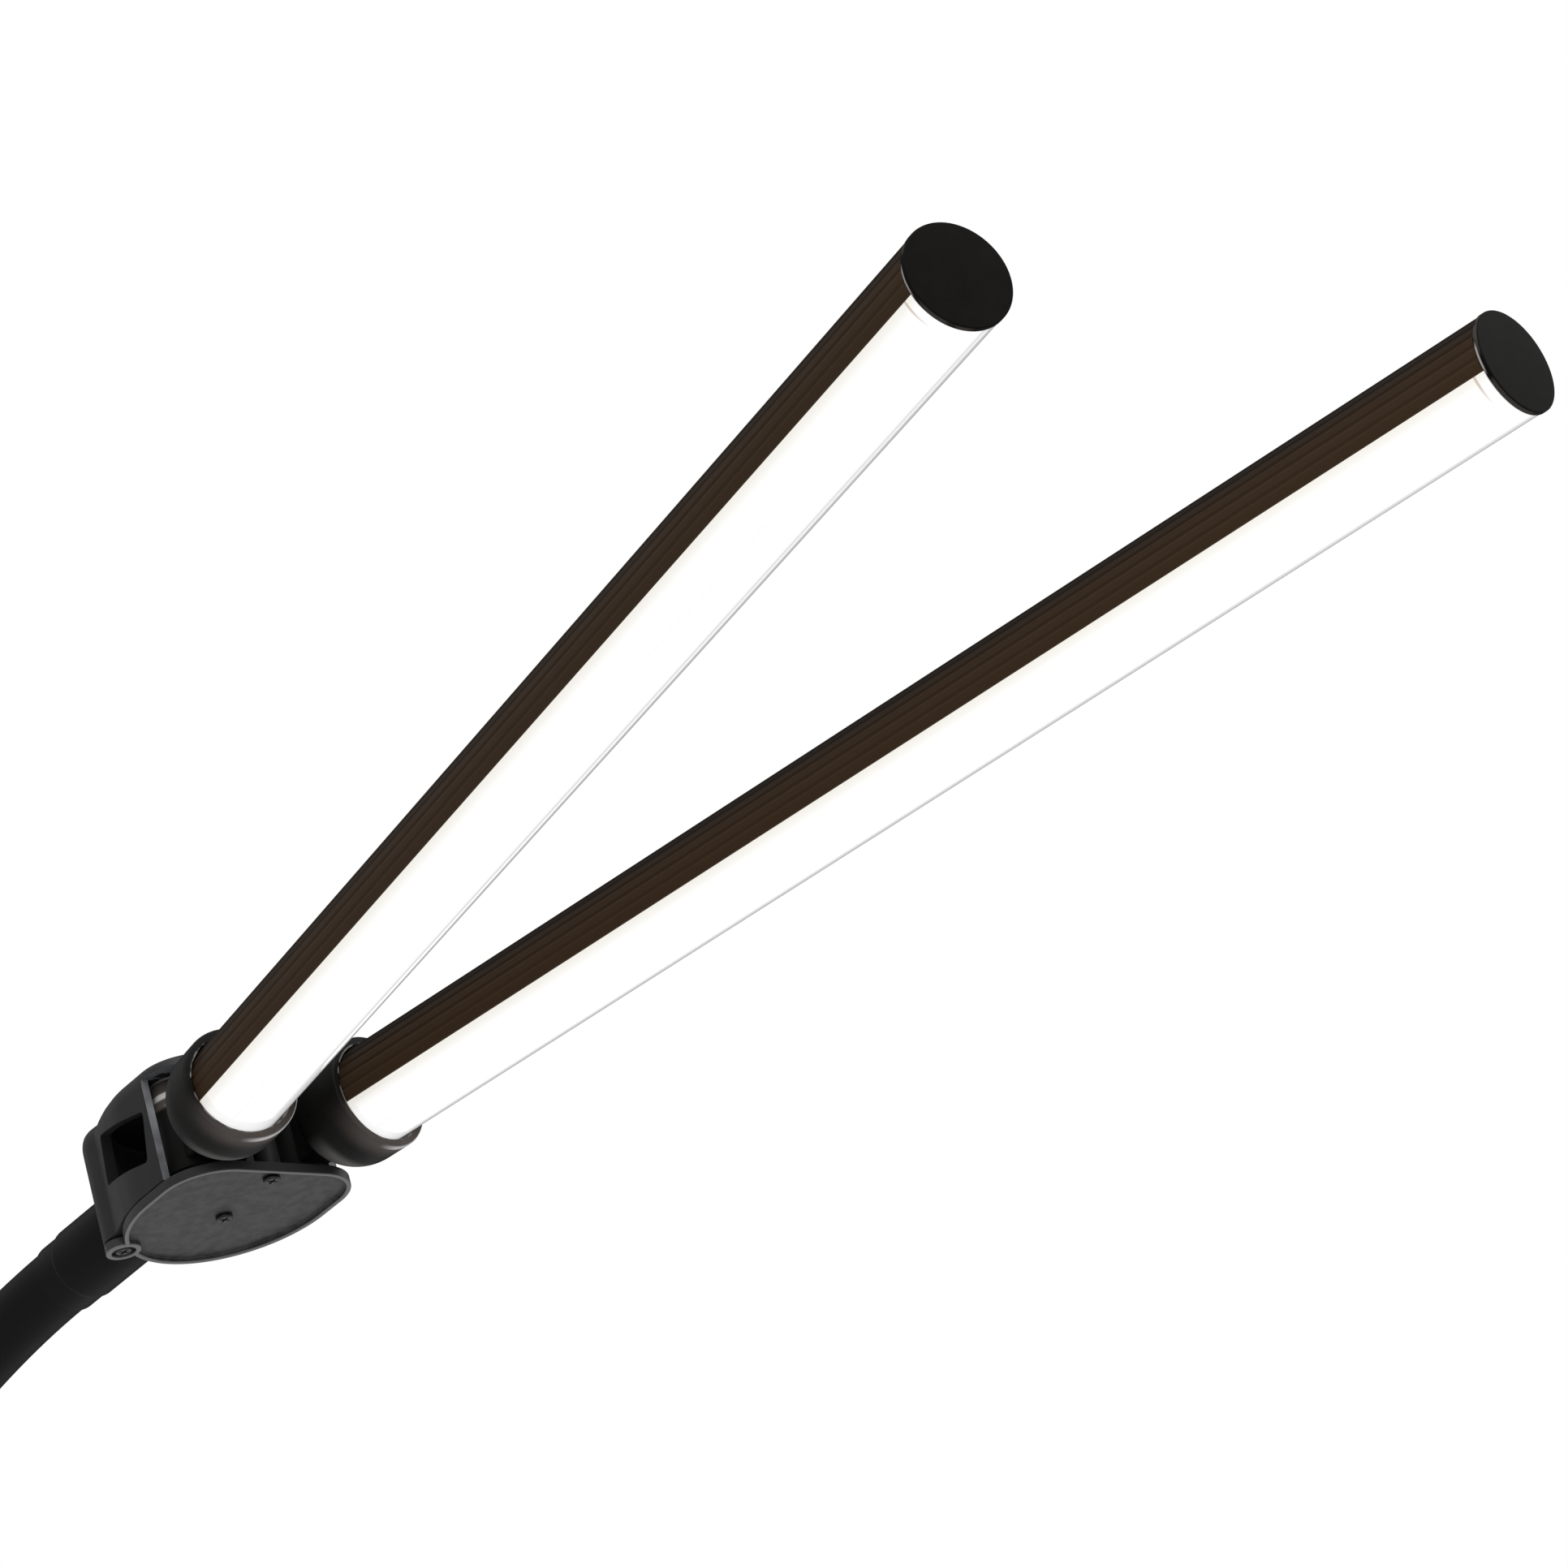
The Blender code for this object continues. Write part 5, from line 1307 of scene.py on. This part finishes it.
cap_radius = float(span("left_end_cap", bars["left"])[1][1])
cap_black = finish("cap_black", cap_moulding, IOR=1.08)
CAP_FLANGE = 0.0016
CAP_EDGE = 0.0004
plug_outline = above_shelf(hollow_radius - CLEARANCE, SHELF_DROP - CLEARANCE)
for side, home in bars.items():
    low, high = span(side + "_end_cap", home)
    radius, cap_front = high[1:]
    cap_back = cap_front - CAP_FLANGE
    cap_profile = rounded([
        (0, cap_back, 0), (radius, cap_back, CAP_EDGE / 2),
        (radius, cap_front, CAP_EDGE), (0, cap_front, 0),
    ])
    cap = turned(side + "_cap_disc", cap_profile, cap_black, home, 128)
    plug_end = extruded("plug", plug_outline, low[2], cap_front - CAP_FLANGE / 2, cap_black, home)
    mounted(carved(cap, "UNION", plug_end), side + "_bar", "cap_black", side + "_end_cap")


# Floor: a seamless sheet of pale vinyl under the base, wide enough to run past every view. Far
# from the lamp it turns white, as a studio's sweep does.
FLOOR_RADIUS = 4.0
FLOOR_THICKNESS = 0.01
FLOOR_SEEN = 0.9


def studio_floor(place):
    """Pale matt vinyl, very slightly clouded, that fades to white far from the lamp."""
    shade = cloud(place, 0.6)
    distance = place.node("VectorMath", {"operation": "LENGTH"}, {0: place}, "Value")
    camera_ray = place.node("LightPath", {}, {}, "Is Camera Ray")
    white = camera_ray * ramp(distance, FLOOR_SEEN, FLOOR_RADIUS)
    return {
        "Base Color": tint(shade, (0.80, 0.80, 0.80), (0.84, 0.84, 0.84)),
        "Roughness": 0.55 + 0.1 * shade,
        "Emission Color": tint(white, (0.0, 0.0, 0.0), (1.0, 1.0, 1.0)),
    }


floor_look = finish("floor_vinyl", studio_floor, Specular_IOR_Level=0.2, Emission_Strength=1.0)
floor_profile = np.array([
    (0, -FLOOR_THICKNESS), (FLOOR_RADIUS, -FLOOR_THICKNESS), (FLOOR_RADIUS, 0), (0, 0),
])
floor = turned("studio_floor", floor_profile, floor_look, steps=128)


# Lights: an even white surround, wide soft lamps above and beside the camera, and a small one over
# the block. A black card far behind the lamp, seen only in reflections, gives the gloss of the
# opal shells their grey far edge.
CARD_SIDE = 2.4
CARD_THICKNESS = 0.01
CARD_PLACE = (-1.16, 1.37, 1.70)
card_face = np.array([0.776, -0.624, -0.091])
card_side = np.cross((0, 0, 1), card_face)
card_side /= np.linalg.norm(card_side)
card_home = homed(CARD_PLACE, card_side, np.cross(card_face, card_side), card_face)
card_look = finish("card_black", lambda place: {}, Base_Color=(0, 0, 0), Specular_IOR_Level=0.0)
half_card, half_depth = np.array([CARD_SIDE, CARD_SIDE]) / 2, CARD_THICKNESS / 2
card_outline = rectangle(-half_card, half_card)
card = extruded("black_card", card_outline, -half_depth, half_depth, card_look, card_home)
for ray in ("camera", "diffuse", "transmission", "volume_scatter", "shadow"):
    setattr(card, "visible_" + ray, False)

world = bpy.data.worlds.new("studio")
bpy.context.scene.world = world
world.use_nodes = True
surround = world.node_tree.nodes["Background"]
seen = world.node_tree.nodes.new("ShaderNodeLightPath")
white = Wire(seen.outputs["Is Camera Ray"])
AMBIENT = 0.6
plug(surround.inputs["Color"], (1, 1, 1))
plug(surround.inputs["Strength"], AMBIENT + white * (1 - AMBIENT))

LAMPS = {
    "overhead_softbox": ((0.6, -0.3, 3.4), 2.4, 55.0),
    "camera_softbox": ((2.6, -1.7, 2.2), 1.6, 20.0),
    "side_softbox": ((0.4, 2.8, 1.9), 1.6, 14.0),
    "edge_lamp": ((0.90, 0.81, 2.28), 0.15, 3.0),
}
aim = head[:3, 3]
for name, (place, size, power) in LAMPS.items():
    lamp = bpy.data.lights.new(name, "AREA")
    lamp.shape = "SQUARE"
    lamp.size = size
    lamp.energy = power
    held = bpy.data.objects.new(name, lamp)
    towards = (aim - place) / np.linalg.norm(aim - place)
    across = np.cross(towards, (0, 0, 1))
    across /= np.linalg.norm(across)
    held.matrix_world = Matrix(homed(place, across, np.cross(across, towards), -towards).tolist())
    bpy.context.scene.collection.objects.link(held)


# Camera: a long lens low on the lamp's right, looking slightly up at the head. Its place, turn and
# focal length were fitted to the outline of the head in the photograph.
CAMERA_PLACE = (1.95554, -1.14219, 1.34391)
CAMERA_TURNS = (("Z", 51.0631), ("X", 90 + 4.9240), ("Z", 1.5233))
lens = bpy.data.cameras.new("camera")
lens.lens = 169.3
lens.sensor_width = 36
camera = bpy.data.objects.new("camera", lens)
stance = Matrix.Translation(CAMERA_PLACE)
for axis, degrees in CAMERA_TURNS:
    stance = stance @ Matrix.Rotation(radians(degrees), 4, axis)
camera.matrix_world = stance
bpy.context.scene.collection.objects.link(camera)
bpy.context.scene.camera = camera
bpy.context.scene.view_settings.view_transform = "Standard"
